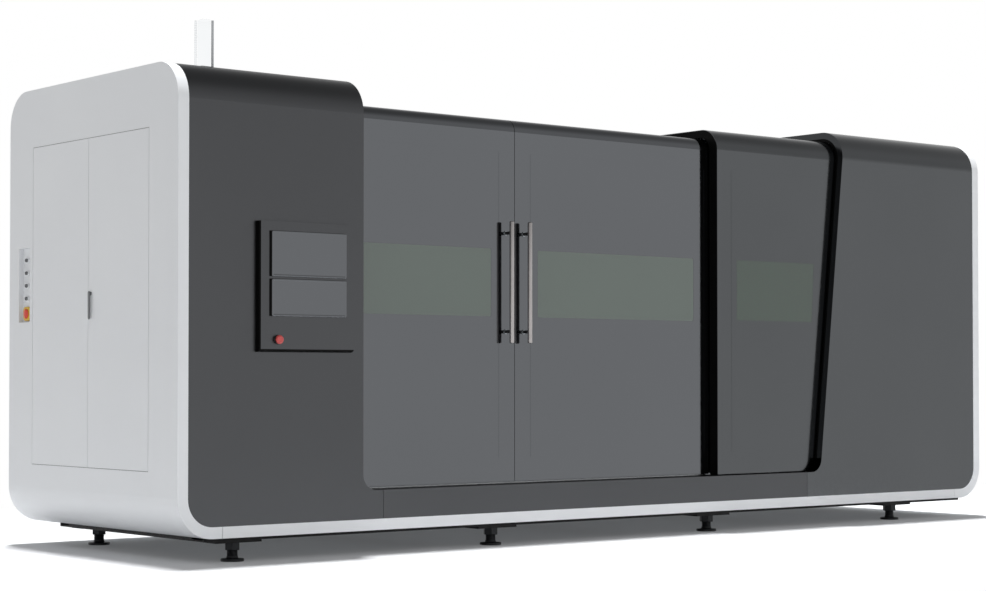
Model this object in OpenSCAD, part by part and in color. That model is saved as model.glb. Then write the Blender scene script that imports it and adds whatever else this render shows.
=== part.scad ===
// Enclosed laser cladding machine for shafts, in millimetres, Z up
// s runs from the left end, d from the front covers to the rear, z from the floor

/* [Enclosure] */
// Length of the body from end to end
body_l = 5500; // [5300:10:5900]
// Depth of the body from the front covers to the rear panels
body_d = 1600; // [1580:10:1800]
// Height of the shell from its underside to the cabinet roof
body_h = 2100; // [2060:10:2300]
// Height of the shell's underside over the floor
shell_z = 110; // [100:1:140]
// Thickness of the cover sheets
sheet = 3; // [2:0.5:4]
// Outer radius of the roof bends of the end cabinets
roof_r = 170; // [140:5:200]
// Outer radius where the end shells curve under
end_r = 180; // [140:5:220]
// Width of the pale band round the front
band_w = 54; // [40:1:70]
// Height of the pale sill
sill_h = 52; // [44:1:70]
// Distance from each end to the seam of the sill
sill_seam = 229; // [210:1:280]
// Depth of the folded lip under the sills
sill_lip = 28; // [15:1:30]
// Gap at the seams between sheets
seam_gap = 2; // [1:0.5:4]

/* [Front covers] */
// Distance from the left end to the open edge of the left cover
cover_w = 990; // [940:10:1040]
// Distance from the left cover's edge to the apron
apron_in = 115; // [100:1:160]
// Distance from the apron to the foot of the slanted edge
apron_end = 109; // [90:1:140]
// Height of the apron over the sill
apron_h = 134; // [120:1:160]
// Radius of the lower corners of the door opening
opening_r = 75; // [40:1:80]
// Depth of the folded edge of the covers round the opening
return_w = 36; // [20:1:38]
// Distance from the right end to the foot of the slanted edge
slant_in = 1393; // [1350:1:1420]
// Lean of the slanted edge
slant_deg = 6.2; // [0:0.1:10]
// Setback of the slanted wall from the edge of its cover
slant_set = 0.5; // [0.3:0.1:1]

/* [Rear panels] */
// Length of a ventilation slot
louvre_l = 180; // [120:5:200]
// Height of a ventilation slot
louvre_h = 10; // [6:1:14]
// Distance between ventilation slots
louvre_pitch = 30; // [24:1:40]
// Gap between the two columns of slots
louvre_gap = 40; // [30:1:60]
// Number of slots in a column
louvre_rows = 10; // [6:1:14]
// Distance from the panel's edges to the slots
louvre_in = 240; // [200:5:280]

/* [Window panel] */
// Distance from the right end to the fixed panel's left edge
panel_in = 2146; // [2110:1:2170]
// Depth of the fixed panel behind the covers
panel_recess = 51; // [44:1:60]
// Drop of the fixed panel's roof below the cabinet roof
panel_step = 55; // [48:1:66]
// Width of the panel's frame left of its groove
panel_frame = 105; // [80:1:130]
// Distance from the panel's left edge to its window
panel_win_in = 147; // [136:1:186]
// Distance from the slanted edge to the window's lower corner
panel_win_end = 103; // [90:1:140]
// Height of the window's lower edge in the panel
panel_win_z = 1127; // [1080:1:1160]
// Height of the panel's window
panel_win_h = 325; // [280:1:360]
// Length of panel hidden behind the right cover
panel_lap = 70; // [40:1:120]

/* [Sliding doors] */
// Depth of the doors behind the covers
door_recess = 117; // [112:1:130]
// Drop of the door roof below the cabinet roof
door_step = 104; // [96:1:116]
// Where the two doors meet
seam_s = 1997; // [1970:1:2020]
// Gap between the meeting doors
door_gap = 3; // [2:0.5:6]
// Gap under the doors
door_clear = 6; // [4:0.5:10]
// Length of left door hidden behind the left cover
left_lap = 60; // [40:1:90]
// Length of right door hidden behind the fixed panel
right_lap = 25; // [20:1:50]
// Depth of the door's folded rims
door_rim = 27; // [20:1:30]
// Depth of the roof flange of the doors
door_flange = 240; // [236:1:260]
// Height of the lower edge of the door windows
win_z = 1119; // [1080:1:1160]
// Height of the door windows
win_h = 336; // [280:1:360]
// Distance from the meeting edge to a door window
win_in = 149; // [130:1:180]
// Distance from the outer edge to a door window
win_end = 140; // [110:1:160]
// Radius of the window corners
win_r = 8; // [4:1:20]
// Thickness of the window panes
pane_t = 6; // [4:0.5:10]
// Lap of a pane behind its opening
pane_lap = 20; // [12:1:24]
// Gap round a pane in its opening
pane_fit = 0.6; // [0.3:0.1:1]
// Setback of the panes from the face of their sheet
pane_set = 0.2; // [0.1:0.1:1]
// Width of the shallow groove on doors and panel
groove_w = 1.5; // [1:0.5:4]
// Depth of the shallow groove
groove_t = 0.6; // [0.3:0.1:1.5]
// Distance from the meeting edge to the groove
groove_in = 100; // [84:1:120]
// Distance from the hidden edge of a door to its groove
groove_end = 60; // [50:1:80]
// Distance from the roof's bend to the upper groove
groove_top = 104; // [80:1:140]
// Height of the lower groove over the floor
groove_z0 = 420; // [380:1:460]

/* [Door handles] */
// Diameter of the handle bars
bar_dia = 24; // [20:1:28]
// Length of the handle bars
bar_l = 605; // [560:5:660]
// Height of the middle of the handle bars
bar_z = 1289; // [1260:1:1320]
// Distance from the door face to the bar's axis
bar_off = 50; // [44:1:56]
// Distance from the meeting edge to the bars
bar_in = 57; // [40:1:80]
// Distance between the posts of a handle
post_span = 488; // [400:1:520]
// Diameter of the handle posts
post_dia = 16; // [12:1:18]
// Diameter of the collars at the foot of the posts
collar_dia = 30; // [24:1:36]
// Thickness of the collars
collar_t = 5; // [3:0.5:8]

/* [Door gear] */
// Reach of the door tracks past the left edge of the fixed panel
track_over = 1320; // [1290:5:1400]
// Margin of the ledge beside the lower guide
ledge_edge = 12; // [8:1:16]
// Distance from the ends of the ledge to its outer legs
leg_in = 200; // [150:5:220]
// Width of the ledge's legs
leg_w = 60; // [40:1:80]
// Number of legs under the ledge
legs = 6; // [4:1:6]
// Distance from the left cover's edge to the beam's post
post_in = 10; // [5:1:40]
// Thickness of the ledge plate
ledge_t = 6; // [4:0.5:10]
// Gap between door face and the guide channel
guide_off = 8; // [6:0.5:12]
// Width of the lower guide channel
guide_w = 20; // [18:1:26]
// Height of the lower guide channel
guide_h = 16; // [12:1:20]
// Wall of the lower guide channel
guide_t = 3; // [2:0.5:4]
// Thickness of the door's guide fins
fin_t = 8; // [6:0.5:10]
// Length of the door's guide fins
fin_l = 120; // [80:5:200]
// Distance from the door's edges to the guide fins
fin_in = 40; // [30:1:80]
// Gap between the lower guide and the door's lower rim
rim_clear = 4.5; // [3:0.5:8]
// Size of the door beam's square tube
beam_w = 80; // [70:1:100]
// Height between the door roof and the top of the beam
beam_drop = 58; // [56:1:70]
// Width of the door rail
rail_w = 20; // [16:1:26]
// Height of the door rail
rail_h = 20; // [16:1:24]
// Width of the hanger blocks
hanger_w = 50; // [44:1:56]
// Length of the hanger blocks
hanger_l = 110; // [80:1:140]
// Distance from the door's edges to the hanger blocks
hanger_in = 20; // [10:1:60]
// Gap between the hanger blocks and the beam
hanger_clear = 6.5; // [4:0.5:8]
// Running gap of slides
slide_gap = 0.5; // [0.3:0.1:1]
// Room for the doors in the walls that they pass
pass_gap = 8; // [6:0.5:12]
// Lap of the reveal's rear part below the middle roof
reveal_lap = 20; // [10:1:30]

/* [Side doors] */
// Front edge of the side opening, from the front
side_d0 = 250; // [245:1:290]
// Gap between the side opening and the recess
side_recess = 26; // [24:1:60]
// Height of the side opening's lower edge
side_z = 400; // [360:1:440]
// Gap between the hinge lugs and the door beam
side_over = 22; // [12:1:60]
// Gap round the side doors
side_gap = 3; // [2:0.5:5]
// Depth of the side doors' folded rims
side_rim = 22; // [15:1:28]
// Diameter of the side doors' hinge pins
hinge_dia = 6; // [5:0.5:6.5]
// Wall between the shell and the hinge bores
hinge_wall = 0.45; // [0.3:0.05:0.8]
// Distance from the edge of a side door to its hinge pin
hinge_edge = 10; // [9.5:0.1:14]
// Length of hinge pin above and below a side door's opening
hinge_l = 12; // [8:1:16]
// Width of the hinge lugs
lug_w = 26; // [20:1:32]
// Height of the hinge lugs
lug_h = 16; // [16:1:24]
// Reach of the side lever outside the wall
lever_proud = 14; // [12:1:30]
// Width of the side lever
lever_w = 24; // [18:1:30]
// Length of the side lever
lever_l = 120; // [90:1:150]
// Thickness of the side lever
lever_t = 9; // [6:0.5:10]
// Diameter of the lever's spindle
lever_dia = 16; // [12:1:20]
// Height of the lever's spindle
lever_z = 1206; // [1150:1:1250]
// Distance from the meeting edge to the lever's spindle
lever_in = 24; // [20:1:40]

/* [Connection recess] */
// Distance from the rear to the recess
recess_in = 96; // [80:1:110]
// Width of the recess
recess_w = 120; // [100:1:130]
// Height of the recess's lower edge
recess_z = 1083; // [1050:1:1120]
// Height of the recess
recess_h = 367; // [340:1:400]
// Depth of the recess
recess_t = 26; // [24:1:40]
// Number of sockets
sockets = 4; // [2:1:4]
// Distance from the recess's upper edge to the first socket
socket_top = 62; // [40:1:70]
// Distance from the isolator's plate to the last socket
socket_low = 40; // [30:1:60]
// Diameter of the sockets
socket_dia = 26; // [20:1:30]
// Reach of the sockets from the floor of the recess
socket_h = 17; // [10:1:20]
// Side of the isolator's plate
plate_w = 68; // [56:1:80]
// Thickness of the isolator's plate
plate_t = 4; // [2:0.5:5]
// Diameter of the isolator's knob
knob_dia = 44; // [34:1:50]
// Height of the isolator's knob
knob_h = 15; // [10:1:16]
// Width of the isolator's grip
knob_grip = 12; // [8:1:16]
// Diameter of the isolator's stem
knob_stem = 14; // [10:1:18]
// Reach of the isolator's stem behind the recess
knob_tail = 3; // [1:1:6]
// Height of the isolator above the recess's lower edge
knob_up = 45; // [42:1:60]

/* [Control box] */
// Distance from the left cover's edge to the control box
box_in = 79; // [60:1:100]
// Width of the control box
box_w = 502; // [460:1:520]
// Height of the control box's lower edge
box_z = 945; // [900:1:980]
// Height of the control box
box_h = 573; // [550:1:610]
// Reach of the control box from the cover
box_t = 28; // [20:1:40]
// Distance from the box's left side to the displays
disp_left = 53; // [40:1:70]
// Distance from the displays to the box's right side
disp_right = 41; // [30:1:60]
// Reach of the displays from the box
disp_t = 9; // [6:1:14]
// Height of the upper display
disp_up_h = 206; // [180:1:230]
// Distance from the box's lower edge to the lower display
disp_foot = 147; // [120:1:170]
// Gap between the displays
disp_gap = 9; // [6:1:20]
// Distance from the top of the box to the upper display
disp_top = 42; // [30:1:50]
// Diameter of the emergency stop button
stop_dia = 40; // [34:1:44]
// Reach of the stop button from the box
stop_h = 22; // [20:1:28]
// Thickness of the stop button's head
stop_head = 12; // [10:1:12]
// Diameter of the stop button's stem
stop_stem = 22; // [16:1:24]
// Height of the collar round the stem
stop_collar = 4; // [3:1:4]
// Diameter of the collar round the stem
stop_collar_dia = 30; // [28:1:33]
// Length of the stem inside the box
stop_in = 12; // [8:1:20]
// Distance from the box's left side to the stop button
stop_s = 90; // [70:1:110]
// Distance from the box's lower edge to the stop button
stop_z = 43; // [40:1:60]
// Running gap of pins in bores
pin_gap = 0.05; // [0.02:0.01:0.1]

/* [Signal lamp] */
// Distance from the left end to the lamp's middle
lamp_s = 281; // [230:1:320]
// Distance from the front to the lamp's middle
lamp_d = 250; // [220:1:300]
// Side of the square lamp
lamp_w = 60; // [50:1:80]
// Height of the lamp's lens
lamp_h = 206; // [160:1:240]
// Height of the lamp's foot
lamp_foot_h = 12; // [8:1:20]
// Overhang of the lamp's foot
lamp_foot_w = 6; // [3:1:12]

/* [Base] */
// Height of the base frame's underside
frame_z = 95; // [90:1:105]
// Height of the base frame's tubes
tube_h = 65; // [55:1:75]
// Width of the base frame's tubes
tube_w = 110; // [100:1:130]
// Wall of the base frame's tubes
tube_t = 8; // [5:1:12]
// Distance from each end to the base frame
frame_in = 155; // [150:1:200]
// Gap between the base frame and the end shells
frame_gap = 10; // [6:1:20]
// Distance from the front to the base frame
frame_d0 = 35; // [32:1:60]
// Distance from the rear to the base frame
frame_back = 240; // [150:5:300]
// Number of cross tubes
cross_tubes = 5; // [3:1:7]
// Distance from the left end to the first foot
foot_s = 337; // [320:1:380]
// Distance from the right end to the last foot
foot_end = 711; // [660:1:760]
// Number of feet in a row
feet = 4; // [3:1:4]
// Diameter of the foot pads
pad_dia = 105; // [80:1:120]
// Thickness of the foot pads
pad_h = 14; // [10:1:20]
// Diameter of the boss on the foot pads
boss_dia = 63; // [50:1:76]
// Height of the sloped boss on the foot pads
boss_h = 14; // [8:1:20]
// Diameter of the foot stems
stem_dia = 30; // [24:1:40]
// Width of the feet's locking nuts
nut_w = 58; // [46:1:64]
// Height of the feet's locking nuts
nut_h = 22; // [16:1:28]
// Width of the plates over the feet
foot_plate_w = 240; // [200:1:280]
// Thickness of the plates over the feet
foot_plate_t = 10; // [6:1:14]
// Gap between the floor tray and the sills' lips
tray_gap = 5; // [2:1:10]

/* [Machine bed] */
// Distance from the front to the workpiece axis
axis_d = 700; // [690:1:720]
// Height of the workpiece axis
axis_z = 1000; // [980:1:1060]
// Distance from the left cover's edge to the bed
bed_left = 100; // [96:1:120]
// Distance from the right end to the bed
bed_in = 250; // [200:1:300]
// Width of the front bed
bed_w = 400; // [390:1:420]
// Height of the front bed's top
bed_z = 560; // [520:1:600]
// Gap between the front bed and the rear beam
bed_gap = 90; // [80:1:120]
// Width of the rear beam
rear_w = 300; // [290:1:320]
// Height of the rear beam's top
rear_z = 760; // [720:1:800]
// Wall of the bed castings
bed_t = 25; // [16:1:40]
// Number of ribs in the bed
bed_ribs = 5; // [3:1:7]
// Number of bridges between the two beds
bridges = 3; // [2:1:4]
// Length of the bridges
bridge_l = 200; // [150:5:260]
// Height of the bridges
bridge_h = 180; // [120:5:240]
// Width of the linear rails
way_w = 25; // [20:1:30]
// Height of the linear rails
way_h = 25; // [20:1:30]
// Distance from the sides of the bed to the rails
way_in = 40; // [36:1:50]

/* [Headstock] */
// Distance from the left end of the bed to the headstock
head_in = 40; // [36:1:70]
// Length of the headstock
head_l = 390; // [360:1:420]
// Height of the headstock above the axis
head_up = 225; // [200:1:240]
// Radius of the headstock's upper edges
head_r = 75; // [50:1:90]
// Diameter of the chuck
chuck_dia = 400; // [340:1:440]
// Length of the chuck
chuck_l = 120; // [100:1:140]
// Chamfer of the chuck's front edge
chuck_edge = 8; // [4:1:14]
// Diameter of the bore through the chuck
chuck_bore = 80; // [60:1:90]
// Diameter of the spindle
spindle_dia = 150; // [130:1:170]
// Length of spindle in the headstock
spindle_l = 120; // [80:1:140]
// Gap between headstock and chuck
chuck_gap = 12; // [8:1:20]
// Gap behind shafts in blind bores
end_gap = 1; // [0.5:0.5:3]
// Width of the jaws
jaw_w = 44; // [36:1:50]
// Length of the jaws
jaw_l = 110; // [90:1:118]
// Depth of the jaw slots
slot_t = 26; // [20:1:34]
// Reach of the jaws from the chuck
jaw_h = 60; // [46:1:70]
// Height of a jaw's steps
jaw_step = 20; // [14:1:20]
// Length of a jaw's steps
jaw_run = 36; // [28:1:38]
// Distance from the axis to the jaws' tips
jaw_r = 84; // [74:1:88]
// Diameter of the spindle motor
motor_dia = 190; // [160:1:210]
// Length of the spindle motor
motor_l = 300; // [260:1:330]
// Distance from the headstock's left face to the motor
motor_set = 40; // [30:1:60]
// Gap between the headstock and the motor
motor_up = 16; // [12:1:24]
// Number of cooling fins round the motor
motor_fins = 24; // [12:1:32]
// Height of the cooling fins
motor_fin_h = 8; // [4:1:10]
// Thickness of the cooling fins
motor_fin_t = 4; // [3:0.5:6]
// Distance from the motor's ends to the fins
motor_fin_in = 30; // [20:1:50]
// Length of the motor's foot
motor_foot_l = 220; // [160:5:240]
// Width of the motor's foot
motor_foot_w = 126; // [90:1:150]
// Diameter of the motor's shaft housing
motor_neck = 95; // [70:1:120]
// Thickness of the belt guard
guard_t = 40; // [30:1:60]
// Width of the belt guard
guard_w = 200; // [180:1:240]
// Radius of the belt guard's corners
guard_r = 85; // [60:1:88]

/* [Tailstock] */
// Distance from the right end to the front of the tailstock's barrel
tail_end = 670; // [640:1:700]
// Length of the tailstock's barrel
tail_l = 360; // [320:1:380]
// Setback of the tailstock's base from the barrel's front
foot_set = 20; // [10:1:40]
// Distance from the sides of the bed to the tailstock's base
tail_in = 15; // [8:1:24]
// Gap between the tailstock's base and the bed
tail_clear = 5; // [3:1:8]
// Height of the tailstock's base over the bed
tail_h = 90; // [70:1:110]
// Setback of the tailstock's waist from the barrel's front
waist_set = 60; // [40:1:90]
// Width of the tailstock's waist at its foot
waist_w = 250; // [220:1:280]
// Width of the tailstock's waist under the barrel
neck_w = 136; // [110:1:138]
// Diameter of the barrel
barrel_dia = 160; // [140:1:168]
// Diameter of the quill
quill_dia = 100; // [80:1:110]
// Room behind the quill in its barrel
quill_room = 60; // [40:1:80]
// Reach of the quill from the barrel
quill_out = 80; // [60:1:100]
// Thickness of the barrel's rear wall
barrel_wall = 30; // [20:1:40]
// Diameter of the centre's shank
shank_dia = 40; // [30:1:50]
// Length of the centre's shank
shank_l = 70; // [50:1:90]
// Diameter of the centre's body
centre_dia = 72; // [60:1:80]
// Length of the centre's body
centre_l = 38; // [30:1:50]
// Gap between the quill and the centre's body
centre_gap = 2; // [1:0.5:4]
// Length of the centre's point
point_l = 52; // [40:1:60]
// Diameter of the centre's point at its foot
point_dia = 58; // [40:1:59]
// Diameter of the flat at the point's tip
point_tip = 2; // [1:0.5:4]

/* [Cladding carriage] */
// Where the carriage stands, from the left end
carriage_s = 2500; // [2450:1:2550]
// Length of the carriage
carriage_l = 500; // [440:1:560]
// Setback of the saddle from the sides of the rear beam
saddle_in = 5; // [2:1:10]
// Gap between the saddle and the rear beam
saddle_clear = 8; // [5:1:12]
// Height of the saddle over the rear beam
saddle_h = 100; // [80:1:120]
// Width of the column
column_w = 300; // [260:1:320]
// Depth of the column
column_d = 220; // [200:1:240]
// Depth of the column at its foot
column_foot = 270; // [244:1:276]
// Width of the opening in the column
column_win_w = 150; // [120:1:180]
// Distance from the column's top to its opening
column_win_top = 160; // [140:1:200]
// Radius of the opening's corners
column_win_r = 50; // [30:1:56]
// Height of the opening over the saddle
column_win_z = 100; // [80:1:140]
// Distance from the door roof to the top of the column
column_top = 516; // [490:1:540]
// Width of the cross slide
ram_w = 160; // [140:1:180]
// Height of the cross slide
ram_h = 170; // [150:1:180]
// Room behind the cross slide
ram_room = 160; // [120:1:200]
// Height of the guide cheeks beside the cross slide
cheek_h = 136; // [100:1:140]
// Gap between the collimator and the head slide
head_gap = 4; // [2:1:8]
// Height of the cross slide's front plate
front_h = 500; // [460:1:520]
// Width of the cross slide's front plate
front_w = 220; // [200:1:240]
// Height of the front plate over the cross slide
front_up = 30; // [10:1:50]
// Distance from the front plate's sides to its rails
front_way_in = 20; // [14:1:30]
// Length of the ribs under the cross slide
gusset_l = 90; // [60:1:96]
// Height of the ribs under the cross slide
gusset_h = 200; // [140:1:240]
// Thickness of plates on the carriage
slab_t = 26; // [20:1:30]
// Height of the head slide
zslide_h = 280; // [240:1:300]
// Thickness of the head slide
zslide_t = 50; // [44:1:52]
// Gap between the front plate and the head slide
zslide_gap = 4; // [2:1:6]
// Distance from the top of the column down to the nozzle's tip
tip_drop = 260; // [220:1:270]
// Length of the nozzle
nozzle_l = 80; // [60:1:100]
// Length of the nozzle's cone
cone_l = 56; // [40:1:58]
// Diameter of the nozzle's upper end
nozzle_dia = 70; // [66:1:80]
// Diameter of the cone's upper end
cone_dia = 62; // [48:1:64]
// Diameter of the nozzle's tip
tip_dia = 16; // [10:1:24]
// Diameter of the laser bore
beam_dia = 6; // [4:0.5:10]
// Diameter of the focusing tube
tube_dia = 78; // [70:1:86]
// Wall of the focusing tube
tube_wall = 10; // [6:1:14]
// Length of the focusing tube
focus_l = 90; // [70:1:110]
// Width of the head's body
block_w = 110; // [96:1:120]
// Height of the head's body
block_h = 150; // [120:1:170]
// Diameter of the collimator
coll_dia = 84; // [70:1:90]
// Length of the collimator
coll_l = 140; // [110:1:160]
// Diameter of the fibre connector
fibre_dia = 46; // [36:1:54]
// Length of the fibre connector
fibre_l = 90; // [60:1:110]
// Diameter of the powder hopper
hopper_dia = 170; // [140:1:190]
// Height of the powder hopper
hopper_h = 260; // [220:1:300]
// Height of the hopper's bracket over the saddle
hopper_up = 320; // [260:1:360]
// Height of the hopper's funnel
funnel_h = 90; // [60:1:120]
// Diameter of the hopper's spout
spout_dia = 42; // [30:1:60]
// Length of the hopper's spout
spout_l = 40; // [20:1:60]
// Height of the hopper's lid
lid_h = 20; // [12:1:30]
// Overhang of the hopper's lid
lid_over = 6; // [3:1:10]
// Gap between the column and the hopper
hopper_gap = 40; // [30:1:60]
// Width and height of the hopper's bracket
bracket_w = 80; // [60:1:100]

/* [Left cabinet] */
// Gap between the laser source and the partition
source_room = 41; // [30:1:60]
// Distance from the roof to the mounting plate's top
gear_top = 330; // [310:1:400]
// Distance from the side opening's edges to the mounting plate
gear_in = 60; // [40:1:80]
// Reach of the largest drives from the plate
drive_t = 150; // [120:1:180]
// Distance from the plate's edge to the first device
gear_edge = 60; // [40:1:80]
// Number of drives
drives = 6; // [2:1:6]
// Width of a drive
drive_w = 120; // [90:1:130]
// Height of a drive
drive_h = 340; // [280:1:360]
// Distance from the plate's top to the drives
drive_top = 80; // [50:1:100]
// Height of the drives' sloped front edge
drive_slope = 60; // [30:1:80]
// Distance from the plate's top to the cable duct
duct_top = 470; // [465:1:490]
// Height of the cable duct
duct_h = 60; // [40:1:70]
// Reach of the cable duct
duct_t = 50; // [40:1:70]
// Number of breakers
breakers = 9; // [4:1:9]
// Width of a breaker
breaker_w = 70; // [50:1:76]
// Height of a breaker
breaker_h = 160; // [120:1:180]
// Reach of a breaker
breaker_t = 75; // [60:1:90]
// Distance from the plate's top to the breakers
breaker_top = 565; // [562:1:600]
// Width of the power supply
supply_w = 340; // [260:1:400]
// Height of the power supply
supply_h = 340; // [260:1:380]
// Distance from the plate's top to the power supply
supply_top = 900; // [820:1:940]
// Height of the laser source
source_h = 820; // [700:1:900]
// Length of the laser source
source_l = 240; // [200:1:260]
// Gap between the mounting plate and the laser source
source_gap = 60; // [40:1:70]
// Number of units in the laser source
source_units = 4; // [3:1:5]
// Gap between the units' fronts
unit_gap = 20; // [10:1:30]
// Thickness of the units' fronts
unit_t = 8; // [5:1:12]

/* [Hidden] */
$fn = 96;
sill_z = shell_z + sill_h;
roof_z = shell_z + body_h;
bend_z = roof_z - roof_r;
apron_z = sill_z + apron_h;
panel_roof = roof_z - panel_step;
panel_r = panel_roof - bend_z;
door_roof = roof_z - door_step;
door_r = door_roof - bend_z;
door_z = apron_z + door_clear;
right_s = body_l - band_w;
slant_s = body_l - slant_in;
apron_s0 = cover_w + apron_in;
apron_s1 = slant_s - apron_end;
panel_s = body_l - panel_in;
panel_win_s = panel_s + panel_win_in;
louvres_l = 2 * louvre_l + louvre_gap;
louvres_h = louvre_rows * louvre_pitch;
lean = tan(slant_deg);
panel_win_s1 = slant_s + (panel_win_z - apron_z) * lean - panel_win_end;
groove_z1 = bend_z - groove_top;
slant_cs = slant_s + opening_r * lean - opening_r / cos(slant_deg);
slant_cz = apron_z + opening_r;
left_s0 = cover_w - left_lap;
left_s1 = seam_s - door_gap / 2;
right_s0 = seam_s + door_gap / 2;
right_s1 = panel_s + right_lap;
flange_d = door_recess + door_flange;
track_s0 = sheet;
track_s1 = panel_s + track_over;
guide_d = door_recess + sheet + guide_off;
rim_z = apron_z + guide_h + rim_clear;
ledge_d1 = guide_d + guide_w + ledge_edge;
leg_pitch = (track_s1 - track_s0 - 2 * leg_in - leg_w) / (legs - 1);
beam_z = door_roof - beam_drop;
hanger_d = flange_d - hanger_w / 2;
left_win = [left_s0 + win_end, left_s1 - win_in];
right_win = [right_s0 + win_in, right_s1 - win_end];
frame_s1 = body_l - frame_in;
frame_d1 = body_d - frame_back;
foot_pitch = (body_l - foot_s - foot_end) / (feet - 1);
frame_top = frame_z + tube_h;
tray_z = frame_top + sheet;
bed_s0 = cover_w + bed_left;
bed_s1 = body_l - bed_in;
bed_d0 = axis_d - bed_w / 2;
rear_d = bed_d0 + bed_w + bed_gap;
way_top = bed_z + way_h;
rear_top = rear_z + way_h;
head_s = bed_s0 + head_in;
spindle_s = head_s + head_l - spindle_l;
chuck_s = head_s + head_l + chuck_gap;
chuck_face = chuck_s + chuck_l;
motor_z = axis_z + head_up + motor_up + motor_dia / 2;
tail_s = body_l - tail_end;
centre_s = tail_s - quill_out;
quill_l = quill_out + tail_l - barrel_wall - quill_room;
rear_mid = rear_d + rear_w / 2;
saddle_z = rear_z + saddle_h;
column_z = door_roof - column_top;
front_z = column_z + ram_h + front_up;
hopper_s = carriage_s + column_w / 2 + hopper_gap + hopper_dia / 2;
source_s = cover_w - 2 * sheet - source_room - source_l;
gear_s = source_s - source_gap - sheet;
gear_z = roof_z - gear_top;
unit_h = source_h / source_units;
recess_d = body_d - recess_in - recess_w;
side_d1 = recess_d - side_recess;
side_mid = (side_d0 + side_d1) / 2;
side_h = beam_z - beam_w - lug_h - side_over - side_z;
gear_d = [side_d0 + gear_in, side_d1 - gear_in];
drive_pitch = (gear_d[1] - gear_d[0] - 2 * gear_edge - drive_w) / (drives - 1);
breaker_pitch = (gear_d[1] - gear_d[0] - 2 * gear_edge - breaker_w) / (breakers - 1);
hinge_in = sheet + hinge_wall + pin_gap + hinge_dia / 2;
hinge_d = [side_d0 + side_gap + hinge_edge, side_d1 - side_gap - hinge_edge];
lever_d = side_mid - side_gap / 2 - lever_in;
recess_mid = recess_d + recess_w / 2;
recess_floor = recess_t - sheet;
knob_z = recess_z + knob_up;
socket_z = knob_z + plate_w / 2 + socket_low;
socket_pitch = (recess_z + recess_h - socket_top - socket_z) / (sockets - 1);
box_s = cover_w - box_in - box_w;
disp_up_z = box_z + box_h - disp_top - disp_up_h;
disp_low_z = box_z + disp_foot;
front_reach = box_t + stop_h;
ram_d = axis_d + coll_dia / 2 + head_gap + zslide_t + zslide_gap;
ram_l = body_d - ram_room - ram_d;
slide_d = ram_d - zslide_gap - zslide_t;
tip_z = column_z - tip_drop;
block_z = tip_z + nozzle_l + focus_l;
left_x = -(body_l - lever_proud) / 2;
front_y = -(body_d - front_reach) / 2;

// Moves a piece drawn from the left end and the front covers into the part's own frame
module place() {
  translate([left_x, front_y, 0]) children();
}

// A block between two corners
module block(s, d, z) {
  translate([s[0], d[0], z[0]]) cube([s[1] - s[0], d[1] - d[0], z[1] - z[0]]);
}

// A section in d and z, drawn out along the machine
module along_s(s0, s1) {
  translate([s0, 0, 0]) rotate([90, 0, 90]) linear_extrude(height = s1 - s0) children();
}

// An outline in s and z, drawn out from front to rear
module along_d(d0, d1) {
  translate([0, d1, 0]) rotate([90, 0, 0]) linear_extrude(height = d1 - d0) children();
}

// A round bar along the machine
module rod_s(s0, s1, d, z, dia) {
  translate([s0, d, z]) rotate([0, 90, 0]) cylinder(h = s1 - s0, d = dia);
}

// A round bar from front to rear
module rod_d(s, d0, d1, z, dia) {
  translate([s, d1, z]) rotate([90, 0, 0]) cylinder(h = d1 - d0, d = dia);
}

// A turned piece on the workpiece axis, from a profile in radius and s
module turned_s() {
  translate([0, axis_d, axis_z]) rotate([0, 90, 0]) rotate_extrude() children();
}

// What a round corner leaves of its square, with the arc's centre at the given signs
module corner_2d(x, y, r, sx, sy) {
  difference() {
    translate([x + (sx < 0 ? -r : -1), y + (sy < 0 ? -r : -1)]) square(r + 1);
    translate([x + sx * r, y + sy * r]) circle(r = r);
  }
}

// Section of a hood with a round front edge and a round rear edge
module hood_2d(d0, d1, z0, z1, r) {
  difference() {
    translate([d0, z0]) square([d1 - d0, z1 - z0]);
    corner_2d(d0, z1, r, 1, -1);
    corner_2d(d1, z1, r, -1, -1);
  }
}

// Section of a hood with a round front edge and a square end
module visor_2d(d0, d1, z0, z1, r) {
  difference() {
    translate([d0, z0]) square([d1 - d0, z1 - z0]);
    corner_2d(d0, z1, r, 1, -1);
  }
}

// Section of a folded hood sheet that ends at the bend's height at the rear
module hood_sheet_2d(d0, z0, z1, r) {
  difference() {
    hood_2d(d0, body_d, z0, z1, r);
    hood_2d(d0 + sheet, body_d - sheet, z0 - 1, z1 - sheet, r - sheet);
    translate([body_d - sheet - 1, z0 - 1]) square([sheet + 2, bend_z - z0 + 1]);
  }
}

// Rounded rectangle between two corners
module window_2d(x, y, r) {
  difference() {
    translate([x[0], y[0]]) square([x[1] - x[0], y[1] - y[0]]);
    corner_2d(x[0], y[0], r, 1, 1);
    corner_2d(x[1], y[0], r, -1, 1);
    corner_2d(x[0], y[1], r, 1, -1);
    corner_2d(x[1], y[1], r, -1, -1);
  }
}

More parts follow.
